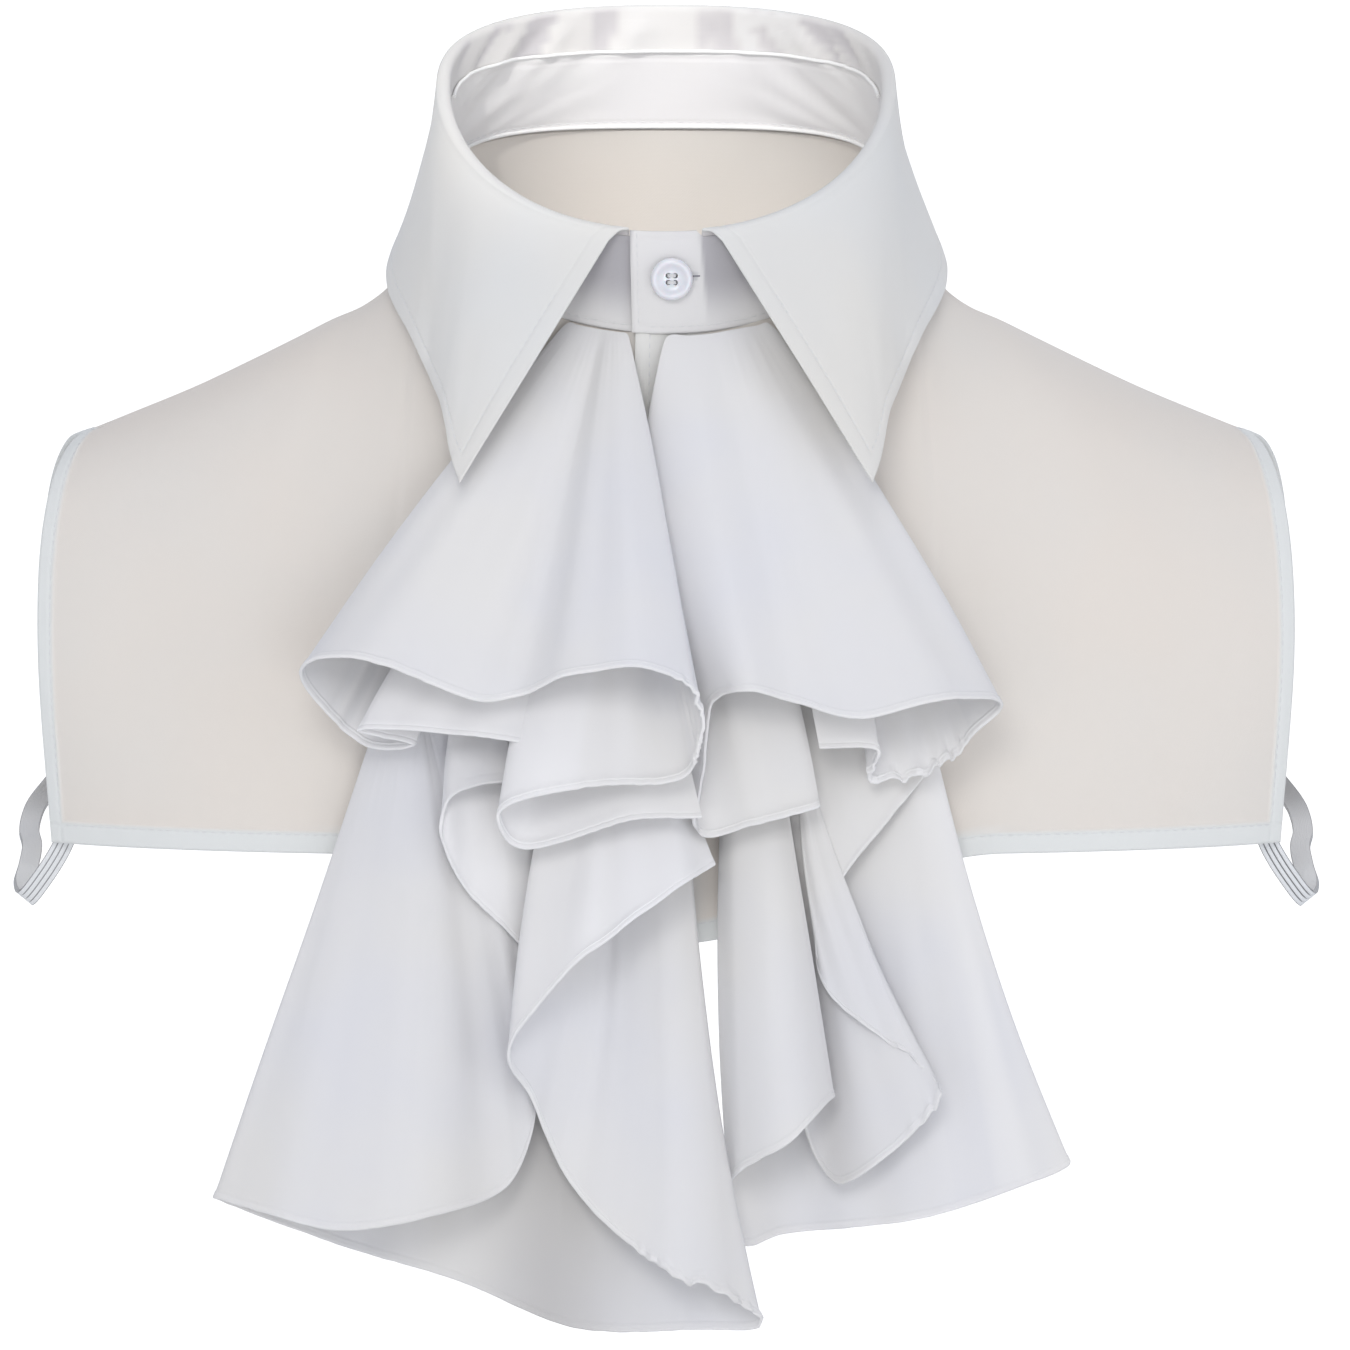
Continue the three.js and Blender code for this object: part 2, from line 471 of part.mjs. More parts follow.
// Elastics
function addElastic(name, side) {
  const path = columnCurve(elasticPath, ['x', 'y', 'z']);
  const leans = columnCurve(elasticPath, ['lean']);
  const surface = (u, v) => {
    const lean = THREE.MathUtils.degToRad(leans.getPoint(u).x);
    const point = path.getPoint(u);
    const offset = (v - 0.5) * elasticWidth;
    point.x -= Math.cos(lean) * offset;
    point.z -= Math.sin(lean) * offset;
    point.x *= side;
    return point;
  };
  const wallAt = (u, v) => {
    const onRib = Math.round(v * elasticRibs * 2) % 2 === 1;
    return onRib ? elasticRibWall : elasticGrooveWall;
  };
  addSheet(name, elasticCloth, 20, elasticRibs * 2, surface, wallAt);
}
addElastic('elastic_left', -1);
addElastic('elastic_right', 1);

// Each wall's skins face outward whichever way its surface was walked
collar.traverse((part) => {
  if (!part.isMesh) return;
  const position = part.geometry.getAttribute('position');
  const triangles = part.geometry.getIndex();
  const [a, b, c] = [new THREE.Vector3(), new THREE.Vector3(), new THREE.Vector3()];
  let volume = 0;
  for (let k = 0; k < triangles.count; k += 3) {
    a.fromBufferAttribute(position, triangles.getX(k));
    b.fromBufferAttribute(position, triangles.getX(k + 1));
    c.fromBufferAttribute(position, triangles.getX(k + 2));
    volume += a.dot(b.cross(c));
  }
  if (volume < 0) triangles.array.reverse();
});

export default collar;
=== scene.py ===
import json
from math import copysign, cos, exp, hypot, pi, radians, sin, sqrt
import bpy
from mathutils import Vector, noise
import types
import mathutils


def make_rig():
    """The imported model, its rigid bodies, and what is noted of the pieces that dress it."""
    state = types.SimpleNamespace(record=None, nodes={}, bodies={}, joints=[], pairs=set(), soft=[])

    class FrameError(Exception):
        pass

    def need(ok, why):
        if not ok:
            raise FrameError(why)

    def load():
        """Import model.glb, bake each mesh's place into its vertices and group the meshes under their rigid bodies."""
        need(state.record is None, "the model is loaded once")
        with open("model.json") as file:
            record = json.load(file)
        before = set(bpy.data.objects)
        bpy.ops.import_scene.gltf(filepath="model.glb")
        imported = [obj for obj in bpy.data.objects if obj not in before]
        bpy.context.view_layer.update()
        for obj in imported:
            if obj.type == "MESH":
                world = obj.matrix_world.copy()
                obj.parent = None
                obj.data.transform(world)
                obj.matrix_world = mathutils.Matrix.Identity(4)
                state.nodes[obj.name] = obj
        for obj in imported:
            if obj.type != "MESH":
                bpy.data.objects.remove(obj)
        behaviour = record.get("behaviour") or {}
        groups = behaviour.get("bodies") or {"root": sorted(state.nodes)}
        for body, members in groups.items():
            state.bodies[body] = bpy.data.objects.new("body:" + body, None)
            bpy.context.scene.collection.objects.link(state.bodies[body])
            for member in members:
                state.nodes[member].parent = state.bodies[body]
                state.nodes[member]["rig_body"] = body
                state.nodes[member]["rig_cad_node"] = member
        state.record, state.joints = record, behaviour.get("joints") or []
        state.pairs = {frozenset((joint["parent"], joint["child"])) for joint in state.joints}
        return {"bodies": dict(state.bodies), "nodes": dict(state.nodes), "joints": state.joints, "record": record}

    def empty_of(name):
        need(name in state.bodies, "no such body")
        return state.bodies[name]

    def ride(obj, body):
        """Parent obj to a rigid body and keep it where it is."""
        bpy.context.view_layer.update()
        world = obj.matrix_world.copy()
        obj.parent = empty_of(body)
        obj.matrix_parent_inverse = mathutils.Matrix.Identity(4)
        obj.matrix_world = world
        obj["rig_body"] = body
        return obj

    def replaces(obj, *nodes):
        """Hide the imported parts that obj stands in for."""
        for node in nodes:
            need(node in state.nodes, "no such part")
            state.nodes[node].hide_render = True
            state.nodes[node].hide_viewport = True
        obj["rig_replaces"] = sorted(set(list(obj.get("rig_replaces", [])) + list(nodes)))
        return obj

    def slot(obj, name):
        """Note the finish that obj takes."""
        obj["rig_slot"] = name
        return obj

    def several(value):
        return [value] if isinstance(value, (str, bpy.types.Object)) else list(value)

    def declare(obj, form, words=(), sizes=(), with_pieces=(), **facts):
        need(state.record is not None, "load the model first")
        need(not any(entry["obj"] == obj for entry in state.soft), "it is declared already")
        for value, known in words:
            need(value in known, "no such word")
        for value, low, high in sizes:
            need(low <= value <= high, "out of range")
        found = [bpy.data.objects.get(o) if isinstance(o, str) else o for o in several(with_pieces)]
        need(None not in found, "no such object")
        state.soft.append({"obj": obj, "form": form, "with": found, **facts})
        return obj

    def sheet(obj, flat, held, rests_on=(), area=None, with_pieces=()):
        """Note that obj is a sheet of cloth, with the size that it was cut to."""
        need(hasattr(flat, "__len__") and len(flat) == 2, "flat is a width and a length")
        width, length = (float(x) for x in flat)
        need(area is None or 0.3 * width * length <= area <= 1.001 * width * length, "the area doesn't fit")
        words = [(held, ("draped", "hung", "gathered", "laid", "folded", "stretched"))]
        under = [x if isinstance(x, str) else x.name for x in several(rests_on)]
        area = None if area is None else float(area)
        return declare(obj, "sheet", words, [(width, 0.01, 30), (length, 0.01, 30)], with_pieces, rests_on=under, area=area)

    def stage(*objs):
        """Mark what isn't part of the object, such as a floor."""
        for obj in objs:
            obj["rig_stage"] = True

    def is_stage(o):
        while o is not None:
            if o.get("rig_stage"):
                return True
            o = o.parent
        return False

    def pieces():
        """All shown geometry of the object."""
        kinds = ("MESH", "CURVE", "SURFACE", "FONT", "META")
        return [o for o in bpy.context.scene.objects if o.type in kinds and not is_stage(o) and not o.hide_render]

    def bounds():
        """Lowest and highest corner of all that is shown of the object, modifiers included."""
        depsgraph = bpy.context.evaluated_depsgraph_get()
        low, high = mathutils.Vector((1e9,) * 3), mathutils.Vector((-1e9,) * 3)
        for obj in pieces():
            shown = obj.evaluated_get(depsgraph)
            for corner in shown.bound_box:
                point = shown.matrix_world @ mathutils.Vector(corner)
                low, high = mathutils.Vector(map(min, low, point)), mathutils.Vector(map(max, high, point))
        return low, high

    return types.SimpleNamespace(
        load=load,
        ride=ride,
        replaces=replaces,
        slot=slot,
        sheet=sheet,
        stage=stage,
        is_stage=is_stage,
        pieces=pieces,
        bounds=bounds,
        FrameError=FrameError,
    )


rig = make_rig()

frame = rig.load()
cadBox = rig.bounds()
scene = bpy.context.scene
mm = 0.001  # the tables are in millimetres, the meshes in metres


# Camera, light and floor

cameraSet = {
    "elevation": 6,  # degrees
    "distance": 10.0,
    "width": 0.3973,  # what the square picture takes in, at the depth of the bib's front
    "frontDepth": 0.071,
    "centre": (0.00265, -0.01372, -0.13054),
}
areaLights = [
    # name, place, size, watts, colour
    ("keyLight", (-0.35, -2.65, 1.25), 1.1, 17, (1.0, 0.985, 0.965)),
    ("lowLight", (0.3, -2.6, -0.7), 1.2, 10.5, (0.97, 0.975, 1.0)),
    ("fillLight", (1.9, -1.7, 0.3), 1.2, 4, (0.95, 0.96, 1.0)),
    ("backLight", (0.9, 2.6, 1.2), 1.4, 15, (1.0, 0.99, 0.98)),
    ("topLight", (-0.1, -0.3, 1.9), 1.2, 5, (1.0, 0.99, 0.97)),
]
# a soft spot that comes in over the collar and lights the inside of the nape from one side
napeLight = {"place": (-0.42, -1.3, 0.95), "target": (0.002, 0.055, 0.014), "watts": 76, "angle": 5.0,
             "radius": 0.03, "colour": (1.0, 0.98, 0.955)}
studio = {
    "lightTarget": (0, 0, -0.1), "worldColour": (0.88, 0.905, 1.0), "worldStrength": 0.58,
    "floorZ": -0.9, "floorSize": 60, "floorColour": (0.8, 0.8, 0.79), "glowColour": (1, 1, 0.97),
    "glowFrom": 1.5, "glowTo": 4.5, "glow": 0.8,  # the floor's far part is lit up to white
}


def setInputs(node, values):
    for socket, value in values.items():
        node.inputs[socket].default_value = value


def addNode(tree, kind, values=None, **settings):
    node = tree.nodes.new(kind)
    for key, value in settings.items():
        setattr(node, key, value)
    setInputs(node, values or {})
    return node


def link(source, output, node, socket):
    node.id_data.links.new(source.outputs[output], node.inputs[socket])


def addObject(name, data):
    thing = bpy.data.objects.new(name, data)
    scene.collection.objects.link(thing)
    return thing


def addMaterial(name, values):
    material = bpy.data.materials.new(name)
    material.use_nodes = True
    shader = material.node_tree.nodes["Principled BSDF"]
    setInputs(shader, values)
    return material, material.node_tree, shader


def addLight(name, kind, place, target, watts, colour):
    data = bpy.data.lights.new(name, kind)
    data.energy = watts
    data.color = colour
    lamp = addObject(name, data)
    lamp.location = place
    lamp.rotation_euler = (Vector(target) - lamp.location).to_track_quat("-Z", "Y").to_euler()
    return data


def buildStudio():
    tilt = radians(cameraSet["elevation"])
    ahead = Vector((0, cos(tilt), -sin(tilt)))
    data = bpy.data.cameras.new("camera")
    data.lens = data.sensor_width * (cameraSet["distance"] - cameraSet["frontDepth"]) / cameraSet["width"]
    data.clip_end = 100
    scene.camera = addObject("camera", data)
    scene.camera.location = Vector(cameraSet["centre"]) - ahead * cameraSet["distance"]
    scene.camera.rotation_euler = (pi / 2 - tilt, 0, 0)
    for name, place, size, watts, colour in areaLights:
        addLight(name, "AREA", place, studio["lightTarget"], watts, colour).size = size
    spot = addLight("napeLight", "SPOT", napeLight["place"], napeLight["target"], napeLight["watts"],
                    napeLight["colour"])
    spot.spot_size = radians(napeLight["angle"])
    spot.spot_blend = 1.0
    spot.shadow_soft_size = napeLight["radius"]
    world = bpy.data.worlds.new("studio")
    world.use_nodes = True
    setInputs(world.node_tree.nodes["Background"],
              {"Color": (*studio["worldColour"], 1), "Strength": studio["worldStrength"]})
    scene.world = world
    scene.view_settings.view_transform = "Standard"
    bpy.ops.mesh.primitive_plane_add(size=studio["floorSize"], location=(0, 0, studio["floorZ"]))
    floor = bpy.context.object
    floor.name = "floor"
    paint, tree, shader = addMaterial("floorPaint", {
        "Base Color": (*studio["floorColour"], 1), "Roughness": 0.9,
        "Emission Color": (*studio["glowColour"], 1),
    })
    where = addNode(tree, "ShaderNodeTexCoord")
    distance = addNode(tree, "ShaderNodeVectorMath", operation="LENGTH")
    link(where, "Object", distance, 0)
    glow = addNode(tree, "ShaderNodeMapRange", {
        "From Min": studio["glowFrom"], "From Max": studio["glowTo"], "To Max": studio["glow"],
    }, interpolation_type="SMOOTHSTEP")
    link(distance, "Value", glow, "Value")
    link(glow, "Result", shader, "Emission Strength")
    floor.data.materials.append(paint)
    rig.stage(floor)
    print("studio built")


buildStudio()


# Finishes

# What a cloth has where its own look says nothing else: the weave's pitch and depth are in millimetres
plainLook = {"pitch": 0.3, "depth": 0.05, "roughness": 0.8, "sheen": 0.1, "sheenTint": (1.0, 1.0, 1.0)}
clothLooks = {
    # edge colour: the hems' tone, and painted bluish shade along the middle edge of the front
    "bibCotton": {
        "colour": (0.79, 0.737, 0.675), "patchAndShade": (0.775, 0.74, 0.69), "edge": (0.77, 0.795, 0.785),
        "pitch": 0.42, "roughness": 0.86, "sheenTint": (0.9, 0.93, 1.0),
    },
    # edge colour: painted shade, for the leaf's inner strip, its crease valleys and the throat
    "collarCotton": {
        "colour": (0.765, 0.752, 0.717), "patchAndShade": (0.75, 0.755, 0.745), "edge": (0.58, 0.56, 0.565),
        "pitch": 0.36, "sheen": 0.12, "sheenTint": (0.85, 0.92, 1.0),
    },
    # edge colour: painted shadow, for the band where the leaf hangs over it
    "bandCotton": {
        "colour": (0.84, 0.83, 0.81), "patchAndShade": (0.80, 0.79, 0.79), "edge": (0.46, 0.45, 0.47),
        "pitch": 0.36, "sheen": 0.12, "sheenTint": (0.85, 0.9, 1.0),
    },
    # patch colour also paints lavender shade, edge colour also paints light on shaded inner layers, shade is painted
    # shade
    "ruffleCrepe": {
        "colour": (0.80, 0.789, 0.77), "patchAndShade": (0.755, 0.757, 0.785), "edge": (0.905, 0.9, 0.91),
        "depth": 0.04, "roughness": 0.7, "sheen": 0.25, "sheenTint": (0.8, 0.86, 1.0),
        "shade": (0.44, 0.425, 0.41),
    },
    # near-black edge colour: painted shade in the grooves and at the root, and darker edges
    "elasticWeave": {
        "colour": (0.86, 0.87, 0.87), "patchAndShade": (0.78, 0.80, 0.82), "edge": (0.07, 0.07, 0.08),
        "pitch": 0.5, "depth": 0.1, "roughness": 0.7, "sheen": 0.2, "sheenTint": (0.9, 0.94, 1.0),
    },
    "sewingThread": {
        "colour": (0.75, 0.75, 0.745), "patchAndShade": (0.71, 0.71, 0.72), "edge": (0.76, 0.76, 0.75),
        "pitch": 0.2, "roughness": 0.6,
    },
    "pipingCotton": {
        "colour": (0.88, 0.875, 0.86), "patchAndShade": (0.86, 0.86, 0.85), "edge": (0.88, 0.88, 0.87),
        "roughness": 0.7,
    },
    "slitShade": {
        "colour": (0.3, 0.3, 0.33), "patchAndShade": (0.25, 0.25, 0.28), "edge": (0.3, 0.3, 0.33),
        "roughness": 0.9, "sheen": 0.0,
    },
}


# A base, which is a colour or another such mix, goes over to a second colour
def colourMix(share, output, base, colour):
    node = addNode(share.id_data, "ShaderNodeMix", {7: (*colour, 1)}, data_type="RGBA")
    link(share, output, node, 0)
    if isinstance(base, tuple):
        node.inputs[6].default_value = (*base, 1)
    else:
        link(base, 2, node, 6)
    return node


# Plain weave from two crossed wave patterns on the cloth's own map, with soft patches in its patch colour.
# The attribute tone goes from -1, all patch colour, over 0 to 1, all edge colour. Besides hems it carries
# painted shade and painted light: negative tone paints lavender shade in the patch colour on the ruffles,
# and the edge colour is painted shade on the band, the leaf, the elastic and along the front's middle, and
# painted light on the ruffles' inner layers. Where a look has a shade colour, the attribute shade says how
# much painted shade there is.
def clothMaterial(name):
    look = {**plainLook, **clothLooks[name]}
    material, tree, shader = addMaterial(name, {
        "Sheen Weight": look["sheen"], "Sheen Roughness": 0.4, "Sheen Tint": (*look["sheenTint"], 1),
        "Specular IOR Level": 0.25,
    })
    where = addNode(tree, "ShaderNodeTexCoord")
    patches = addNode(tree, "ShaderNodeTexNoise", {"Scale": 14.0, "Detail": 3.0, "Roughness": 0.45})
    link(where, "Object", patches, "Vector")
    spread = addNode(tree, "ShaderNodeMapRange", {"From Min": 0.35, "From Max": 0.65})
    link(patches, "Fac", spread, "Value")
    toneHere = addNode(tree, "ShaderNodeAttribute", attribute_name="tone")
    patchShare = addNode(tree, "ShaderNodeMath", operation="SUBTRACT", use_clamp=True)
    link(spread, "Result", patchShare, 0)
    link(toneHere, "Fac", patchShare, 1)
    tones = colourMix(patchShare, "Value", look["colour"], look["patchAndShade"])
    tones = colourMix(toneHere, "Fac", tones, look["edge"])
    if "shade" in look:
        tones = colourMix(addNode(tree, "ShaderNodeAttribute", attribute_name="shade"), "Fac", tones,
                          look["shade"])
    link(tones, 2, shader, "Base Color")
    weave = addNode(tree, "ShaderNodeMath", operation="MAXIMUM")
    for k, direction in enumerate(("X", "Y")):
        wave = addNode(tree, "ShaderNodeTexWave", {
            "Scale": pi / 10 / (look["pitch"] * mm), "Distortion": 0.4, "Detail": 1.0,
        }, wave_type="BANDS", bands_direction=direction)
        link(where, "UV", wave, "Vector")
        link(wave, "Fac", weave, k)
    bump = addNode(tree, "ShaderNodeBump", {"Strength": 0.5, "Distance": look["depth"] * mm})
    link(weave, "Value", bump, "Height")
    link(bump, "Normal", shader, "Normal")
    rough = addNode(tree, "ShaderNodeMapRange",
                    {"To Min": look["roughness"] - 0.05, "To Max": look["roughness"] + 0.05})
    link(weave, "Value", rough, "Value")
    link(rough, "Result", shader, "Roughness")
    return material


finishes = {name: clothMaterial(name) for name in clothLooks}
print("finishes made")


# Numbers and curves

def mix(a, b, t):
    return a + (b - a) * t


def ease(t):
    t = min(1, max(0, t))
    return t * t * (3 - 2 * t)


def signedPower(value, power):
    return copysign(abs(value) ** power, value)


def evenSteps(count):
    return [k / count for k in range(count + 1)]


# Values from 0 to 1 that stand closer together toward both ends
def edgeSteps(count, closeness):
    return [t - closeness * sin(2 * pi * t) / (2 * pi) for t in evenSteps(count)]


# Values from 0 to 1 that stand closer together toward 1
def hemSteps(count, closeness):
    return [1 - (1 - t) ** closeness for t in evenSteps(count)]


# Steps from 0 to 1 that are fine within a band at the end, for a hem's edges and stitches
def bandedSteps(length, count, band, fineCount):
    share = band / length
    fine = [1 - share * (1 - t) for t in evenSteps(fineCount)]
    return [(1 - share) * t for t in evenSteps(count)[:-1]] + fine


# A smooth curve through the rows of a table, with its parameter even from row to row
def tableCurve(rows):
    points = [Vector(row) for row in rows]
    chain = [points[0] * 2 - points[1], *points, points[-1] * 2 - points[-2]]

    def at(u):
        place = min(1, max(0, u)) * (len(points) - 1)
        i = min(int(place), len(points) - 2)
        a, b, c, d = chain[i:i + 4]
        t = place - i
        ab, bc, cd = [max((q - p).length, 0.0001) ** 0.5 for p, q in ((a, b), (b, c), (c, d))]
        leave = ((b - a) / ab - (c - a) / (ab + bc) + (c - b) / bc) * bc
        arrive = ((c - b) / bc - (d - b) / (bc + cd) + (d - c) / cd) * bc
        bend = (c - b) * 3 - leave * 2 - arrive
        return b + leave * t + bend * t * t + ((b - c) * 2 + leave + arrive) * t * t * t
    return at


def ripple(x, y, z):
    return noise.noise(Vector((x, y, z)))


# Cloth: a grid of points of the middle surface becomes a closed wall with two skins and a rim. How
# thick it is, and how far it stands off the middle surface, depend on how far the four edges are.

def edgeDistances(grid):
    columns, rows = len(grid), len(grid[0])
    start = [[0.0] * rows for _ in range(columns)]
    top = [[0.0] * rows for _ in range(columns)]
    for i in range(columns):
        for j in range(rows):
            if i:
                start[i][j] = start[i - 1][j] + (grid[i][j] - grid[i - 1][j]).length
            if j:
                top[i][j] = top[i][j - 1] + (grid[i][j] - grid[i][j - 1]).length
    return start, top


def gridNormal(grid, i, j):
    last, bottom = len(grid) - 1, len(grid[0]) - 1
    along = grid[min(i + 1, last)][j] - grid[max(i - 1, 0)][j]
    down = grid[i][min(j + 1, bottom)] - grid[i][max(j - 1, 0)]
    return along.cross(down).normalized()


def addCloth(name, cloth, surfaceAt, acrossValues, downValues, wallAt, proudAt, toneAt):
    grid = [[surfaceAt(u, v) for v in downValues] for u in acrossValues]
    start, top = edgeDistances(grid)
    columns, rows = len(grid), len(grid[0])
    front, back, places, tones, edgeGrid = [], [], [], [], []
    for i, u in enumerate(acrossValues):
        for j, v in enumerate(downValues):
            edges = {"start": start[i][j], "end": start[-1][j] - start[i][j],
                     "top": top[i][j], "hem": top[i][-1] - top[i][j]}
            edges["side"] = min(edges["start"], edges["end"])
            normal = gridNormal(grid, i, j)
            middle = grid[i][j] + normal * proudAt(u, v, edges)
            wall = wallAt(u, v, edges)
            reverse = cloth.get("reverse", wall / 2)
            front.append((middle + normal * (wall - reverse)) * mm)
            back.append((middle - normal * reverse) * mm)
            places.append((start[i][j] * mm, top[i][j] * mm))
            tones.append(toneAt(u, v, edges))
            edgeGrid.append(edges)
    count = columns * rows
    index = [[i * rows + j for j in range(rows)] for i in range(columns)]
    faces = []
    for i in range(columns - 1):
        for j in range(rows - 1):
            quad = (index[i][j], index[i + 1][j], index[i + 1][j + 1], index[i][j + 1])
            faces.append(quad)
            faces.append(tuple(k + count for k in reversed(quad)))
    rim = [index[i][0] for i in range(columns - 1)] + [index[-1][j] for j in range(rows - 1)]
    rim += [index[i][-1] for i in range(columns - 1, 0, -1)] + [index[0][j] for j in range(rows - 1, 0, -1)]
    for k, a in enumerate(rim):
        b = rim[(k + 1) % len(rim)]
        faces.append((a, a + count, b + count, b))
    mesh = bpy.data.meshes.new(name)
    mesh.from_pydata(front + back, [], faces)
    uvLayer = mesh.uv_layers.new(name="cloth")
    for loop in mesh.loops:
        uvLayer.data[loop.index].uv = places[loop.vertex_index % count]
    mesh.attributes.new("tone", "FLOAT", "POINT").data.foreach_set("value", tones * 2)
    piece = addObject(name, mesh)
    finishPiece(piece, cloth["node"], cloth["slot"], cloth["finish"])
    return {"piece": piece, "index": index, "front": front, "back": back, "edges": edgeGrid}


def finishPiece(piece, node, slot, finish):
    bpy.ops.object.select_all(action="DESELECT")
    bpy.context.view_layer.objects.active = piece
    piece.select_set(True)
    bpy.ops.object.mode_set(mode="EDIT")
    bpy.ops.mesh.select_all(action="SELECT")
    bpy.ops.mesh.normals_make_consistent(inside=False)
    bpy.ops.object.mode_set(mode="OBJECT")
    bpy.ops.object.shade_smooth_by_angle(angle=radians(50))
    piece.data.materials.append(finishes[finish])
    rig.ride(piece, "root")
    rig.replaces(piece, node)
    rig.slot(piece, slot)


def roundedWall(wall, distance, radius):
    if distance >= radius:
        return wall
    return wall * sqrt(max(0.09, 1 - (1 - distance / radius) ** 2))


# 1 on a line at one distance from an edge, falling to 0 beside it
def onLine(distance, inset, width=0.45):
    return exp(-((distance - inset) / width) ** 2)


def declareSheet(form, cloth, sewnOn=()):
    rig.sheet(form["piece"], flat=cloth["flat"], held=cloth["held"], rests_on=cloth["restsOn"],
             area=cloth.get("area"), with_pieces=sewnOn)


# Thread: short round stitches along a line that keeps its distance from an edge of a cloth

thread = {"radius": 0.17, "length": 2.0, "pitch": 2.8, "start": 0.4, "rings": 5, "sides": 5}
cord = {"radius": 0.55, "clearance": 0.05, "lift": 0.1, "from": 96, "steps": 240, "sides": 12}


# Pairs of points on the two skins, at one distance from an edge and no nearer to the other edges named
def seamLine(form, edge, inset, clearOf):
    walks = form["index"] if edge == "hem" else zip(*form["index"])
    line = []
    for walk in walks:
        for a, b in zip(walk, walk[1:]):
            before = form["edges"][a][edge] - inset
            after = form["edges"][b][edge] - inset
            if before * after > 0 or before == after:
                continue
            t = before / (before - after)
            if all(form["edges"][a][other] >= 0.97 * near for other, near in clearOf):
                line.append([form[skin][a].lerp(form[skin][b], t) for skin in ("front", "back")])
            break
    return line


def stitchesAlong(points, ups):
    lengths = [0.0]
    for a, b in zip(points, points[1:]):
        lengths.append(lengths[-1] + (b - a).length)
    tubes, k = [], 0
    stitchCount = int(lengths[-1] / (thread["pitch"] * mm))
    for n in range(stitchCount):
        tube = []
        for ring in range(thread["rings"]):
            t = ring / (thread["rings"] - 1)
            at = (n * thread["pitch"] + thread["start"] + t * thread["length"]) * mm
            while k < len(lengths) - 2 and lengths[k + 1] < at:
                k += 1
            share = (at - lengths[k]) / max(lengths[k + 1] - lengths[k], 1e-9)
            swell = sin(pi * t)
            up = ups[k].lerp(ups[k + 1], share).normalized()
            place = points[k].lerp(points[k + 1], share) + up * (thread["radius"] * (0.9 * swell - 0.5) * mm)
            tube.append((place, up, thread["radius"] * (0.55 + 0.45 * swell) * mm))
        tubes.append(tube)
    return tubes


# Round tubes as one mesh; each tube is a list of centre, upward direction and radius
def addTubes(name, node, slot, finish, tubes, sides=thread["sides"]):
    points, faces = [], []
    for tube in tubes:
        first = len(points)
        for k, (centre, up, radius) in enumerate(tube):
            ahead = (tube[min(k + 1, len(tube) - 1)][0] - tube[max(k - 1, 0)][0]).normalized()
            across = ahead.cross(up).normalized()
            lift = across.cross(ahead)
            for m in range(sides):
                turn = 2 * pi * m / sides
                points.append(centre + (across * cos(turn) + lift * sin(turn)) * radius)
        for k in range(len(tube) - 1):
            for m in range(sides):
                a = first + k * sides + m
                b = first + k * sides + (m + 1) % sides
                faces.append((a, a + sides, b + sides, b))
        faces.append(tuple(first + m for m in range(sides)))
        faces.append(tuple(first + len(tube) * sides - 1 - m for m in range(sides)))
    mesh = bpy.data.meshes.new(name)
    mesh.from_pydata(points, [], faces)
    piece = addObject(name, mesh)
    finishPiece(piece, node, slot, finish)
    return piece


# Stitches on both skins of a cloth, along its hem and up both ends, clear of each other
def sewHems(name, form, cloth, hemInset, sideInset, keepOff=()):
    seams = [("hem", hemInset, [("start", sideInset), ("end", sideInset)])]
    seams += [(side, sideInset, [("hem", hemInset), *keepOff]) for side in ("start", "end")]
    tubes = []
    for edge, inset, clearOf in seams:
        line = seamLine(form, edge, inset, clearOf)
        ups = [(a - b).normalized() for a, b in line]
        tubes += stitchesAlong([a for a, _ in line], ups)
        tubes += stitchesAlong([b for _, b in line], [-up for up in ups])
    return addTubes(name, cloth["node"], cloth["slot"], "sewingThread", tubes)


# Collar

neckSeam = {"halfWidth": 66, "front": 58, "back": 57, "frontSquareness": 2.1, "backSquareness": 3.2,
            "frontZ": -24.2, "backZ": 26.3, "crown": 8}
foldLine = {"halfWidth": 66, "front": 60, "back": 52, "frontSquareness": 2.2, "backSquareness": 2.4,
            "frontZ": 6, "backZ": 62.7, "crown": 8}
lap = {"step": 2.4, "blend": 30, "underEnd": 6.2, "overEnd": 7.7}
seamGap = 0.3


# A point on a ring round the neck: angle 0 at the throat, 90 at the right, 180 at the nape
def ringPoint(ring, angle, outward):
    def place(degrees):
        turn = radians(degrees)
        squareness = ring["frontSquareness"] if cos(turn) > 0 else ring["backSquareness"]
        ahead = signedPower(cos(turn), 2 / squareness)
        reach = ring["front"] if ahead > 0 else ring["back"]
        return Vector((ring["halfWidth"] * signedPower(sin(turn), 2 / squareness), -ahead * reach))
    point = place(angle)
    tangent = (place(angle + 0.5) - place(angle - 0.5)).normalized()
    along = (point.y + ring["front"]) / (ring["front"] + ring["back"])
    z = mix(ring["frontZ"], ring["backZ"], along) + ring["crown"] * sin(pi * along)
    return Vector((point.x + tangent.y * outward, point.y - tangent.x * outward, z))


def lapOffset(angle):
    return lap["step"] * ease((lap["blend"] - angle) / lap["blend"])


leaf = {
    "foldRadius": 1.7, "riseFront": 0.3, "riseBack": 11.5, "endLeft": 11.6, "endRight": 11.2,
    "wall": 0.95, "edgeWall": 0.25, "stripPart": 0.1, "foldPart": 0.24, "stitchInset": 5.4,
    "cornerReach": 3.6,  # degrees that the front corners reach in, in an arch, at the top of the fold
    "cornerHeight": 4.1, "fall": 95, "creaseTo": 14, "throat": 15, "throatFade": 10,
    "columns": 260, "stripRows": 14, "foldRows": 14, "fallRows": 56,
    "node": "collar_leaf", "slot": "collar_cloth", "finish": "collarCotton",
    "flat": (0.49, 0.097), "area": 0.028, "held": "folded", "restsOn": ["band"],
}
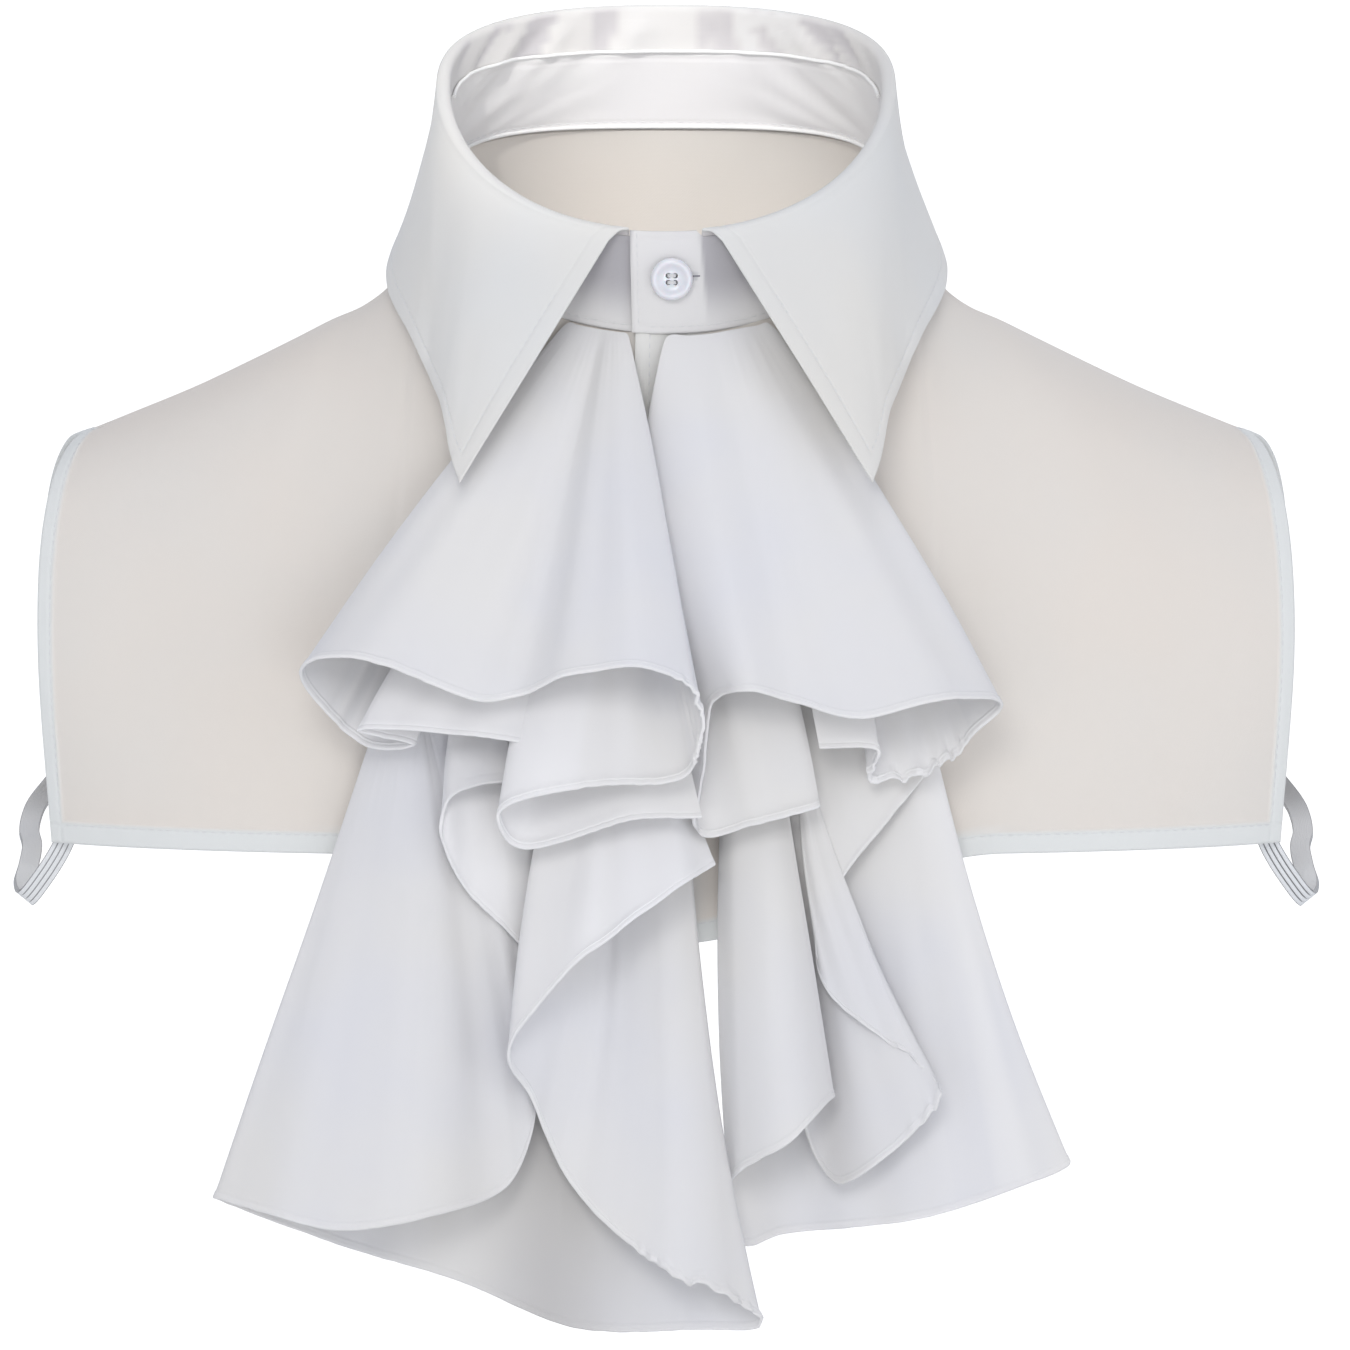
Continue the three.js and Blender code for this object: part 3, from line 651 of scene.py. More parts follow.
# round the neck from the front edge to the nape: angle, edge x, y, z, bow of the fall
leafEdge = [
    (0, 60.7, -94, -65.3, 1.0),
    (24, 63.3, -86, -57.8, 1.0),
    (42, 65.8, -75, -46.3, 1.0),
    (58, 70.0, -60, -36.9, 0.5),
    (74, 75.3, -47, -26.7, -1.0),
    (92, 82.4, -15, -15.0, -2.5),
    (116, 80.0, 24, -5.0, -1.0),
    (140, 66.0, 54, 9.0, 0.5),
    (162, 37.0, 68, 14.0, 0.5),
    (180, 0.0, 71, 14.0, 0.0),
]


def leafRise(angle):
    return mix(leaf["riseFront"], leaf["riseBack"], (1 - cos(radians(angle))) / 2)


def foldBase(angle, outward):
    point = ringPoint(foldLine, angle, outward)
    point.z -= leaf["foldRadius"]
    return point


stand = {
    "wall": 1.2, "height": 27, "columns": 240, "rows": 36, "stitchInset": 2.1, "seamDrop": 0.35,
    # the tab's and the sides' tones are painted shadow of the leaf over the band, fading out away from the throat
    "tabAngle": 6.6, "tabFlare": 2.5, "tabTone": 0.18, "tabRise": 1.9, "tabFrom": 352.6, "tabStep": 0.6,
    "sideTone": 0.35, "darkTo": 22, "darkFade": 14, "toneTo": 60, "toneFade": 40,  # degrees from the throat
    "dimple": 0.35, "dimpleReach": 7, "puff": 0.28, "puffRadius": 8.6, "puffWidth": 1.9,
    "bandCrease": 1.2, "stripCrease": 1.9,
    "node": "collar_stand", "slot": "stand_cloth", "finish": "bandCotton",
    "flat": (0.44, 0.03), "held": "folded", "restsOn": ["leaf"],
}
button = {
    "centre": (1.7, -8.1), "radius": 6.3, "thickness": 3.0, "standOff": 0.25, "vertices": 64,
    "holeRadius": 0.8, "holeOffset": 1.45, "holeTurns": (45, 135, 225, 315),
    # share of the radius, share of the thickness
    "profile": [(0.62, 0), (0.86, 0.1), (0.96, 0.27), (1, 0.5), (0.985, 0.72), (0.93, 0.9), (0.87, 0.98),
                (0.8, 1), (0.73, 0.96), (0.66, 0.86), (0.58, 0.74), (0.5, 0.66), (0.36, 0.61)],
}


def standAngle(u):
    return mix(-lap["underEnd"], 360 + lap["overEnd"], u)


# From the fold above to the neck seam below; the right end laps over the left one at the throat
def standSurface(u, v):
    angle = standAngle(u)
    proud = lapOffset(360 - angle)
    bottom = ringPoint(neckSeam, -angle, proud)
    bottom.z -= stand["seamDrop"]
    top = foldBase(-angle, proud - leaf["foldRadius"])
    onTab = ease((angle - stand["tabFrom"]) / stand["tabStep"])
    top.z += stand["tabRise"] * onTab - leafRise(angle) - seamGap / 3
    return top.lerp(bottom, v)


def atNape(angle):
    return ease((cos(radians(angle - 180)) - 0.1) / 0.7)


# Soft creases that lean together upward at the nape, on the back half of the band and the strip above it
def napePucker(angle, height):
    fan = (angle - 180) * 0.028 * (1 + 0.08 * height)
    creases = 1.2 * ripple(fan, height * 0.03, 3.1) - 1.1 * abs(ripple(fan * 1.6, height * 0.05, 7.7)) + 0.25
    amount = mix(stand["bandCrease"], stand["stripCrease"], ease((height - 20) / 12))
    return amount * atNape(angle) * creases * ease(height / 6)


# A bright cord along a seam round the nape, on the inner side
def addCord(name, cloth, placeAt):
    tube = []
    for t in evenSteps(cord["steps"]):
        angle = mix(cord["from"], 360 - cord["from"], t)
        tube.append((placeAt(angle) * mm, Vector((0, 0, 1)), cord["radius"] * mm))
    return addTubes(name, cloth["node"], cloth["slot"], "pipingCotton", [tube], cord["sides"])


def buildStand():
    def wallAt(u, v, edges):
        nearest = min(edges["side"], edges["top"], edges["hem"])
        wall = roundedWall(stand["wall"], min(edges["side"], edges["hem"]), 0.6)
        return wall * (1 - 0.3 * onLine(nearest, stand["stitchInset"]))

    def proudAt(u, v, edges):
        place = standSurface(u, v)
        creases = napePucker(standAngle(u), edges["hem"])
        if u < 0.5:
            return creases
        fromButton = hypot(place.x - button["centre"][0], place.z - button["centre"][1])
        beyond = ease((u - 0.93) / 0.04)
        dimple = stand["dimple"] * onLine(fromButton, 0, stand["dimpleReach"])
        puff = stand["puff"] * onLine(fromButton, stand["puffRadius"], stand["puffWidth"])
        folds = 0.3 * ripple(place.x * 0.22, place.z * 0.09, 6.6)
        return creases + beyond * (puff - dimple + folds)

    # painted shadow: darker at the throat, most of all high up on both sides of the tab, where the leaf hangs over it
    def toneAt(u, v, edges):
        fromThroat = min(abs(standAngle(u)), abs(360 - standAngle(u)))
        beside = ease((fromThroat - stand["tabAngle"] - stand["tabFlare"] * v) / 1.2) if u > 0.5 else 1
        further = ease((fromThroat - stand["darkTo"]) / stand["darkFade"])
        shade = mix(1 - 0.8 * ease((v - 0.4) / 0.6), stand["sideTone"], further)
        beyond = ease((fromThroat - stand["toneTo"]) / stand["toneFade"])
        return mix(stand["tabTone"], shade, beside) * (1 - beyond)

    form = addCloth("band", stand, standSurface, edgeSteps(stand["columns"], closeness=0.6),
                    edgeSteps(stand["rows"], closeness=0.7), wallAt, proudAt, toneAt)

    def cordAt(angle):
        place = ringPoint(neckSeam, -angle, -stand["wall"] / 2 - cord["radius"] - cord["clearance"])
        return place + Vector((0, 0, cord["lift"]))

    stitches = sewHems("bandStitches", form, stand, stand["stitchInset"], stand["stitchInset"])
    declareSheet(form, stand, [stitches, addCord("neckCord", stand, cordAt)])
    print("band built")


def buildLeaf():
    rows = [(angle, -x, y, z, bow) for angle, x, y, z, bow in leafEdge]
    rows += [(360 - angle, x, y, z, bow) for angle, x, y, z, bow in reversed(leafEdge[:-1])]
    edgeCurve = tableCurve([row[1:4] for row in rows])
    hangCurve = tableCurve([(row[0], row[4], 0) for row in rows])
    strip, fold = leaf["stripPart"], leaf["foldPart"]

    # degrees that the ends reach toward the throat, by how far a row lies below the top of the fold
    def cornerReach(v):
        turn = max(pi / 2, pi * min(1, (v - strip) / (fold - strip)))
        below = leaf["foldRadius"] * (1 - sin(turn)) + leaf["fall"] * max(0, v - fold) / (1 - fold)
        toCorner = max(0, 1 - below / leaf["cornerHeight"])
        return leaf["cornerReach"] * (1 - sqrt(1 - toCorner * toCorner))

    def surfaceAt(u, v):
        place, bow, _ = hangCurve(u)
        reach = cornerReach(v)
        angle = mix(leaf["endLeft"] - reach, 360 - leaf["endRight"] + reach, place / 360)
        proud = lapOffset(360 - angle)
        if v <= strip:
            point = foldBase(-angle, proud - leaf["foldRadius"])
            point.z -= leafRise(angle) * (1 - v / strip) - seamGap / 6
            return point
        if v <= fold:
            turn = pi * (v - strip) / (fold - strip)
            point = foldBase(-angle, proud - leaf["foldRadius"] * cos(turn))
            point.z += leaf["foldRadius"] * sin(turn) + seamGap / 6
            return point
        down = (v - fold) / (1 - fold)
        outer = foldBase(-angle, proud + leaf["foldRadius"])
        outward = ringPoint(foldLine, -angle, 1) - ringPoint(foldLine, -angle, 0)
        return outer.lerp(edgeCurve(u), down) + outward * (bow * sin(pi * down))

    def creaseAt(u, edges):
        return napePucker(hangCurve(u)[0], stand["height"] + min(edges["top"], leaf["creaseTo"]))

    def wallAt(u, v, edges):
        nearest = min(edges["side"], edges["hem"])
        wall = roundedWall(leaf["wall"], nearest, 0.6) * (1 - 0.5 * onLine(nearest, leaf["stitchInset"]))
        onFall = ease((v - fold) / 0.1)
        return wall + leaf["edgeWall"] * onFall * onLine(nearest, leaf["stitchInset"] - 2.4, 1.6)

    def proudAt(u, v, edges):
        fall = ease((v - fold) / 0.4)
        wave = 0.7 * fall * ripple(u * 14, v * 2.2, 1.3) + 0.25 * fall * ripple(u * 40, v * 5, 8.3)
        onStrip = 1 - ease((v / strip - 0.45) / 0.75)
        return wave - onStrip * creaseAt(u, edges)

    # painted shade: darker on the strip inside, at the throat and in the valleys of its creases at the nape
    def toneAt(u, v, edges):
        inside = 1 - ease((v - strip) / (fold - strip) * 2)
        fromThroat = min(hangCurve(u)[0], 360 - hangCurve(u)[0])
        atThroat = ease((leaf["throat"] - fromThroat) / leaf["throatFade"])
        return inside * max(atThroat, 0.35 + 0.65 * ease((creaseAt(u, edges) + 0.1) / 0.7))

    down = [strip * t for t in evenSteps(leaf["stripRows"])[:-1]]
    down += [mix(strip, fold, t) for t in evenSteps(leaf["foldRows"])[:-1]]
    down += [mix(fold, 1, t) for t in hemSteps(leaf["fallRows"], closeness=1.5)]
    across = edgeSteps(leaf["columns"], closeness=0.8)
    form = addCloth("leaf", leaf, surfaceAt, across, down, wallAt, proudAt, toneAt)

    def cordAt(angle):
        inward = leaf["foldRadius"] + stand["wall"] / 2 + cord["radius"] + cord["clearance"]
        place = foldBase(-angle, napePucker(angle, stand["height"]) - inward)
        return place - Vector((0, 0, leafRise(angle) - cord["lift"]))

    stitches = sewHems("leafStitches", form, leaf, leaf["stitchInset"], leaf["stitchInset"], [("top", 30)])
    declareSheet(form, leaf, [stitches, addCord("leafCord", leaf, cordAt)])
    print("leaf built")


# Button and buttonhole

# The place on the band's outer skin, near the throat, that lies behind a given x and z
def bandFace(x, z):
    u, v, small = 0.98, 0.5, 0.002
    for _ in range(6):
        place = standSurface(u, v)
        u += (x - place.x) / ((standSurface(u + small, v).x - place.x) / small)
        v += (z - place.z) / ((standSurface(u, v + small).z - standSurface(u, v).z) / small)
    return standSurface(u, v) + Vector((0, -stand["wall"] / 2, 0))


def buttonMaterial():
    material, tree, shader = addMaterial("buttonShell", {
        "Roughness": 0.22, "Coat Weight": 0.6, "Coat Roughness": 0.08,
        "Subsurface Weight": 0.15, "Subsurface Scale": 0.002,
    })
    cloud = addNode(tree, "ShaderNodeTexNoise", {"Scale": 260.0, "Detail": 2.0, "Distortion": 0.8})
    link(addNode(tree, "ShaderNodeTexCoord"), "Object", cloud, "Vector")
    link(colourMix(cloud, "Fac", (0.80, 0.80, 0.82), (0.70, 0.72, 0.78)), 2, shader, "Base Color")
    return material


def buildButton():
    radius, thickness = button["radius"] * mm, button["thickness"] * mm
    share, height = button["profile"][0]
    bpy.ops.mesh.primitive_circle_add(vertices=button["vertices"], radius=radius * share, fill_type="NGON")
    shell = bpy.context.object
    shell.name = "button"
    bpy.ops.object.mode_set(mode="EDIT")
    bpy.ops.mesh.select_all(action="SELECT")
    for nextShare, nextHeight in button["profile"][1:]:
        rise = (nextHeight - height) * thickness
        bpy.ops.mesh.extrude_region_move(TRANSFORM_OT_translate={"value": (0, 0, rise)})
        bpy.ops.transform.resize(value=(nextShare / share, nextShare / share, 1))
        share, height = nextShare, nextHeight
    bpy.ops.object.mode_set(mode="OBJECT")
    for turn in button["holeTurns"]:
        toHole = Vector((cos(radians(turn)), sin(radians(turn)), 0))
        bpy.ops.mesh.primitive_cylinder_add(vertices=24, radius=button["holeRadius"] * mm,
                                            depth=4 * thickness, location=toHole * button["holeOffset"] * mm)
        drill = bpy.context.object
        bpy.ops.object.select_all(action="DESELECT")
        bpy.context.view_layer.objects.active = shell
        shell.select_set(True)
        bpy.ops.object.modifier_add(type="BOOLEAN")
        shell.modifiers[-1].object = drill
        shell.modifiers[-1].operation = "DIFFERENCE"
        bpy.ops.object.modifier_apply(modifier=shell.modifiers[-1].name)
        bpy.data.objects.remove(drill)
    x, z = button["centre"]
    face = bandFace(x, z)
    base = Vector((x, face.y - button["standOff"], z))
    shell.rotation_euler = (pi / 2, 0, 0)
    shell.location = base * mm
    bpy.ops.object.transform_apply(location=True, rotation=True, scale=True)
    finishPiece(shell, "button", "button", "buttonShell")
    sewButton(base)
    sewButtonhole(base)
    print("button built")


# Three strands between each pair of holes, over the button's dished middle
def sewButton(base):
    strand = {"reach": 1.15, "rise": 0.35, "sink": 0.75, "spacing": 0.32, "radius": 0.19}
    floor = base.y - button["thickness"] * button["profile"][-1][1]
    reach = button["holeOffset"] * cos(radians(45))
    tubes = []
    for side in (-1, 1):
        for beside in (-1, 0, 1):
            tube = []
            for step in evenSteps(8):
                t = 2 * step - 1
                y = floor + strand["rise"] - strand["sink"] * (1 - t ** 4)
                z = base.z + side * reach + beside * strand["spacing"]
                place = Vector((base.x + t * reach * strand["reach"], y, z))
                tube.append((place * mm, Vector((0, -1, 0)), strand["radius"] * mm))
            tubes.append(tube)
    addTubes("buttonThread", "button", "button", "sewingThread", tubes)


# Close upright stitches above and below the slit, which runs to the right from behind the button
def sewButtonhole(base):
    hole = {"from": -1.0, "to": 8.3, "pitch": 0.36, "gap": 0.28, "height": 1.0, "rise": 0.7, "radius": 0.17}
    tubes = []
    for k in range(int((hole["to"] - hole["from"]) / hole["pitch"])):
        x = base.x + hole["from"] + k * hole["pitch"]
        for side in (-1, 1):
            tube = []
            for m in range(4):
                z = base.z + hole["rise"] + side * (hole["gap"] + hole["height"] * m / 3)
                lift = hole["radius"] * (0.3 + 0.8 * sin(pi * (m + 0.5) / 4))
                place = bandFace(x, z) - Vector((0, lift, 0))
                tube.append((place * mm, Vector((0, -1, 0)), hole["radius"] * mm))
            tubes.append(tube)
    addTubes("buttonhole", "collar_stand", "stand_cloth", "sewingThread", tubes)
    # a dark tube along the slit is painted shadow in it
    slit = []
    for t in evenSteps(24):
        place = bandFace(base.x + mix(hole["from"], hole["to"], t), base.z + hole["rise"])
        slit.append(((place - Vector((0, 0.12, 0))) * mm, Vector((0, -1, 0)), hole["gap"] * 0.9 * mm))
    addTubes("buttonholeSlitShadow", "collar_stand", "stand_cloth", "slitShade", [slit], 8)


# Bib

bib = {
    "hemHalfWidth": 181.3, "sideBulge": 8, "sideBulgePower": 6, "hemZ": -175.6, "neckSideHemX": 88,
    "centreDip": 26, "centreDipHalfWidth": 100, "topProud": 1.2, "neckPart": 0.42, "neckSpread": 1.2,
    "frontOverEnd": -10.6, "frontUnderEnd": 12, "lapFade": 1.4,
    "topDrop": 0.9, "throatInset": 1.2, "throatRise": 0.6,  # tucked up behind the band
    "wall": 0.7, "hemWall": 1.6, "hemDepth": 6.6, "sideHemDepth": 5.3, "hemRamp": 0.7, "seamIn": 1,
    "placketShade": 24, "placketShadeFade": 8, "placketShadeTone": 0.6,
}
panel = {"slot": "bib_cloth", "finish": "bibCotton", "held": "hung", "restsOn": ["band"]}
frontCloth = {**panel, "flat": (0.21, 0.215), "area": 0.036}
backCloth = {**panel, "node": "back_panel", "flat": (0.39, 0.22), "area": 0.076}
bibRound = {"middle": 1.15, "neckSide": 1.5, "shoulderEnd": 2.1}
chest = {"depth": 94, "halfWidth": 205, "squareness": 2.6}
upperBack = {"depth": 104, "halfWidth": 205, "squareness": 2.6}
# from the side of the neck to the shoulder's end: x, z
shoulderRidge = [
    (66, 7.5), (72, -6.0), (79, -15.5), (86, -21.0), (95, -25.0), (107, -31.0), (136, -44.5),
    (159, -54.0), (173, -60.0),
]
ridgeCurve = tableCurve([(x, z, 0) for x, z in shoulderRidge])


def formDepth(form, x):
    squareness = form["squareness"]
    return form["depth"] * (1 - (abs(x) / form["halfWidth"]) ** squareness) ** (1 / squareness)


# across runs from 0 at the middle to 1 at the side edge, down from 0 at the top to 1 at the hem
def bibSurface(across, down, facing, outward):
    form = chest if facing < 0 else upperBack
    neckPart = bib["neckPart"]
    onNeck = min(1, abs(across) / neckPart)
    if across < neckPart:
        angle = copysign(90 * onNeck ** bib["neckSpread"], across)
        atThroat = (1 - ease(onNeck * 2 - 0.4)) if facing < 0 else 0
        proud = bib["topProud"] * onNeck - bib["throatInset"] * atThroat
        top = ringPoint(neckSeam, angle if facing < 0 else 180 - angle, proud)
        top.z += bib["throatRise"] * atThroat
        bottomX = bib["neckSideHemX"] * across / neckPart
        roundness = mix(bibRound["middle"], bibRound["neckSide"], onNeck)
    else:
        beyond = (across - neckPart) / (1 - neckPart)
        ridgeX, ridgeZ, _ = ridgeCurve(beyond)
        top = Vector((ridgeX + bib["topProud"] * (1 - beyond), 0, ridgeZ))
        bottomX = mix(bib["neckSideHemX"], bib["hemHalfWidth"], beyond)
        roundness = mix(bibRound["neckSide"], bibRound["shoulderEnd"], beyond)
    top.z -= bib["topDrop"]
    top.y += facing * seamGap / 2 * ease(onNeck * 3 - 2)
    dip = cos(min(1, abs(bottomX) / bib["centreDipHalfWidth"]) * pi / 2) ** 2
    bottomY = facing * formDepth(form, bottomX)
    bottomZ = bib["hemZ"] - (bib["centreDip"] * dip if facing < 0 else 0)
    turn = down * pi / 2
    forward = max(0, sin(turn)) ** (2 / roundness)
    fall = 1 - max(0, cos(turn)) ** (2 / roundness)
    bulge = bib["sideBulge"] * sin(pi * down) * abs(across) ** bib["sideBulgePower"]
    return Vector((mix(top.x, bottomX, down) + bulge,
                   mix(top.y, bottomY, forward) + facing * outward,
                   mix(top.z, bottomZ, fall)))


def acrossBib(u, start):
    neckPart = bib["neckPart"]
    return mix(start, neckPart, 2 * u) if u < 0.5 else mix(neckPart, 1, 2 * u - 1)


def hemmedWall(hemDistance, sideDistance):
    onHem = ease((bib["hemDepth"] - hemDistance) / bib["hemRamp"] + 0.5)
    onSide = ease((bib["sideHemDepth"] - sideDistance) / bib["hemRamp"] + 0.5)
    wall = mix(bib["wall"], bib["hemWall"], max(onHem, onSide))
    dips = max(onLine(hemDistance, bib["hemDepth"] - bib["seamIn"]),
               onLine(sideDistance, bib["sideHemDepth"] - bib["seamIn"]))
    return roundedWall(wall * (1 - 0.35 * dips), min(hemDistance, sideDistance), 0.7)


# Slack in the cloth, and the small waves that the stitching pulls along the hems
def bibWave(u, v, hemDistance, sideDistance, along, seed):
    broad = 1.1 * ripple(u * 4.5, v * 2.6, seed) + 0.3 * ripple(u * 13, v * 6, seed + 5)
    broad *= sin(pi * min(1, v * 1.15)) ** 0.7
    pull = onLine(hemDistance, bib["hemDepth"], 3) * ripple(along / 5, 0.3, seed + 2)
    sidePull = onLine(sideDistance, bib["sideHemDepth"], 3) * ripple(v * 34, 0.7, seed + 3)
    return broad + 0.22 * (pull + sidePull)


def hemTone(hemDistance, sideDistance):
    onHem = ease((bib["hemDepth"] + 0.6 - hemDistance) / 1.5)
    return 0.9 * max(onHem, ease((bib["sideHemDepth"] + 0.6 - sideDistance) / 1.5))


def addPanel(name, cloth, surfaceAt, across, proudAt, toneAt):
    def wallAt(u, v, edges):
        return hemmedWall(edges["hem"], edges["side"])

    down = bandedSteps(length=205, count=62, band=10, fineCount=24)
    form = addCloth(name, cloth, surfaceAt, across, down, wallAt, proudAt, toneAt)
    stitches = sewHems(name + "Stitches", form, cloth, bib["hemDepth"] - bib["seamIn"],
                       bib["sideHemDepth"] - bib["seamIn"])
    declareSheet(form, cloth, [stitches])


# start is where the panel's inner edge lies across the bib, below 0 on the far side of the middle
def frontPanel(name, node, side, start):
    def surfaceAt(u, v):
        across = acrossBib(u, start)
        step = lap["step"] * ease(1 - across / bib["neckPart"] * bib["lapFade"]) if side > 0 else 0
        point = bibSurface(across, v, -1, step)
        point.x *= side
        return point

    def proudAt(u, v, edges):
        return side * bibWave(u, v, edges["hem"], edges["end"], edges["start"], 2.0 + side)

    # painted bluish shade along the middle edge of the front, seen between the ruffles, and the hems' tone
    def toneAt(u, v, edges):
        placketShade = bib["placketShadeTone"] * ease((bib["placketShade"] - edges["start"]) / bib["placketShadeFade"])
        return max(hemTone(edges["hem"], edges["end"]), placketShade)

    across = [t / 2 for t in evenSteps(50)[:-1]]
    across += [(1 + t) / 2 for t in bandedSteps(length=105, count=50, band=9, fineCount=22)]
    addPanel(name, {**frontCloth, "node": node}, surfaceAt, across, proudAt, toneAt)


def backPanel():
    def surfaceAt(u, v):
        fromMiddle = 2 * u - 1
        point = bibSurface(acrossBib(abs(fromMiddle), 0), v, 1, 0)
        point.x *= -1 if fromMiddle < 0 else 1
        return point

    def proudAt(u, v, edges):
        return bibWave(u * 2, v, edges["hem"], edges["side"], edges["start"], 9.0)

    def toneAt(u, v, edges):
        return hemTone(edges["hem"], edges["side"])

    outer = [(1 + t) / 2 for t in bandedSteps(length=190, count=80, band=9, fineCount=22)]
    addPanel("backPanel", backCloth, surfaceAt, [1 - u for u in reversed(outer[1:])] + outer, proudAt, toneAt)


def frontReach(x):
    return x / bib["neckSideHemX"] * bib["neckPart"]


# Jabot. A row is one fold line: top x, y, z, hem x, y, z, bow forward, swing sideways.

upperLeftFolds = [
    (-22, -99, -84, -30, -121, -141, 0, 0),
    (-36, -99, -84, -62, -123, -136.5, 0, 0),
    (-54, -96, -86, -90.4, -118, -136, 0, -3),
    (-48, -91, -86, -74, -112, -141, 0, 0),
    (-54, -78, -70, -88, -106, -142, 0, 0),
    (-38, -60.5, -33, -100.5, -106, -131, 0, -2),
    (-28.5, -55.4, -21.8, -107.7, -113, -119, -2, -3),
    (-26.5, -56.2, -22.3, -97, -126, -113.5, -3, 0),
    (-24, -57.0, -22.8, -80, -132, -116, -2, 0),
    (-21, -57.7, -23.3, -56, -131, -126, 1, 0),
    (-19, -58.2, -23.6, -44, -128, -124.5, 1, 0),
    (-17, -58.6, -23.9, -30, -137, -118, 4, 0),
    (-14, -59.3, -24.3, -6, -142, -115.5, 5, 0),
    (-11.5, -59.7, -24.8, 8, -139, -121, 4, 1),
    (-12, -76, -44, 11, -133, -137, 2, 1),
    (-8, -96, -80, 5.5, -130, -148, 1, 0),
    (-14, -99, -84, -25.3, -132, -151.5, 2, 0),
    (-30, -97, -90, -50, -127, -160, 1, -3),
    (-27, -93, -100, -43, -120, -170.5, 1, 0),
    (-10, -97, -102, -8, -124, -161.5, 2, 0),
    (-3, -97, -104, 10.5, -121, -161.5, 1, 0),
]
upperRightFolds = [
    (34, -97, -84, 45, -115, -141.5, 0, 0),
    (48, -95, -84, 63, -118, -142, 0, 2),
    (50, -84, -78, 61, -110, -151, 0, 0),
    (49, -73, -62, 76, -109, -150, 0, 0),
    (41, -61.5, -37, 90, -108, -139, 0, 2),
    (30, -56.4, -21.8, 98.3, -112, -130, -2, 3),
    (27, -57.5, -22.4, 90, -122, -126, -3, 1),
    (23.5, -58.8, -22.9, 74, -129, -127.5, -1, 0),
    (19, -60.2, -23.6, 56, -128, -131.5, 2, 0),
    (14, -61.4, -24.4, 39, -124, -127.5, 2, 0),
    (7, -62.4, -25, 24, -128, -123.5, 3, -2),
    (0.5, -62.8, -25.2, 14, -119, -127.5, 0, -12),
    (-1, -71, -42, 11.3, -113, -145, 0, -9),
    (6, -88, -82, 10, -112, -167.5, 1, 0),
    (14, -93, -84, 26.5, -116, -164, 2, 0),
    (26, -92, -86, 45, -113, -159, 2, 2),
    (22, -89, -92, 36, -107, -160, 1, 0),
]
lowerLeftFolds = [
    (-8, -90, -128, 14.3, -112, -176.5, -1, 1),
    (-10, -95, -128, 4, -124, -181.5, -2, 1),
    (-15, -95.5, -128, -12, -129, -192.5, -2, 0),
    (-20, -96, -128, -30, -130, -207.5, -2, 0),
    (-28, -95, -128, -46.3, -125, -232, 0, -3),
    (-24, -92.5, -130, -41, -119, -243, 0, 2),
    (-16, -91, -130, -31, -113, -266, 1, 5),
    (-12, -91, -130, -20, -117, -280, 2, 3),
    (-6, -91, -130, 1, -124, -295.5, 3, 2),
    (2, -91, -130, 18, -124, -303, 3, 0),
    (6, -90, -130, 27.5, -119, -312, 3, -6),
    (-2, -86.7, -126, 8, -110, -314, 7, -2),
    (-20, -86, -124, -26, -108, -314, 6, 0),
    (-45, -85.2, -122, -62, -104, -300, 5, 0),
    (-62, -85.2, -122, -97, -100, -290, 5, 0),
    (-80, -89, -122, -132.7, -104, -276, 3, 0),
    (-78, -93, -123, -117, -117, -279, 1, 0),
    (-76, -95, -124, -96, -124, -283, 2, 2),
    (-74, -96, -125, -70, -125, -279, 2, 4),
    (-72.5, -96.5, -126, -46, -117, -270, 2, 4),
    (-60, -96.5, -127, -36, -111, -238, 1, 2),
    (-44, -95.5, -128, -34, -108, -212, 0, 0),
    (-50, -98, -130, -46, -109.5, -197, 1, 0),
    (-57, -99.5, -131, -58, -111.5, -184.5, 1, 0),
    (-61, -100.5, -131, -64, -112, -174, 1, 0),
    (-63, -101, -131, -66.3, -111.5, -165, 0, 0),
    (-62, -102, -131, -63, -113, -156.5, 0, 0),
    (-56, -102.5, -131, -55, -113.5, -153, 0, 0),
    (-48, -102, -131, -45, -112.5, -151.5, 0, 0),
]
lowerRightFolds = [
    (64, -88.5, -126, 101, -100, -262, 3, 0),
    (75, -91.5, -126, 119.3, -107, -265, 3, -4),
    (70, -93, -126, 101, -114, -272.5, 3, 0),
    (56, -89.5, -126, 76, -114, -280.5, 3, 0),
    (42, -88, -126, 54, -109, -284, 4, 0),
    (26, -86.5, -126, 34, -105, -286.5, 6, 0),
    (18, -87.2, -128, 23, -104, -290, 6, -3),
    (17.5, -91, -130, 19.5, -108, -272, 5, -2),
    (20, -94, -130, 23, -118, -265.5, 4, -1),
    (25, -94, -130, 36, -127, -257, 3, 0),
    (31, -94, -130, 48.6, -122, -244, 2, 0),
    (27, -92, -132, 42, -117, -252, 1, 0),
    (26, -91, -132, 50, -116, -270, 1, 3),
    (30, -92.5, -132, 63, -120, -263, 2, 2),
    (36, -94, -132, 81.2, -122, -241.5, 1, -4),
    (38, -95, -132, 64.5, -118, -228, 1, -5),
    (39, -95, -132, 48, -113, -214.5, 0, -3),
    (40, -95, -131, 44, -110, -204, 0, -1),
    (45, -95, -129, 50, -107, -184.5, 0, 0),
    (54, -95, -127, 65.5, -104, -164, 0, 0),
    (63, -94, -125, 76, -101, -151.5, 0, 0),
]
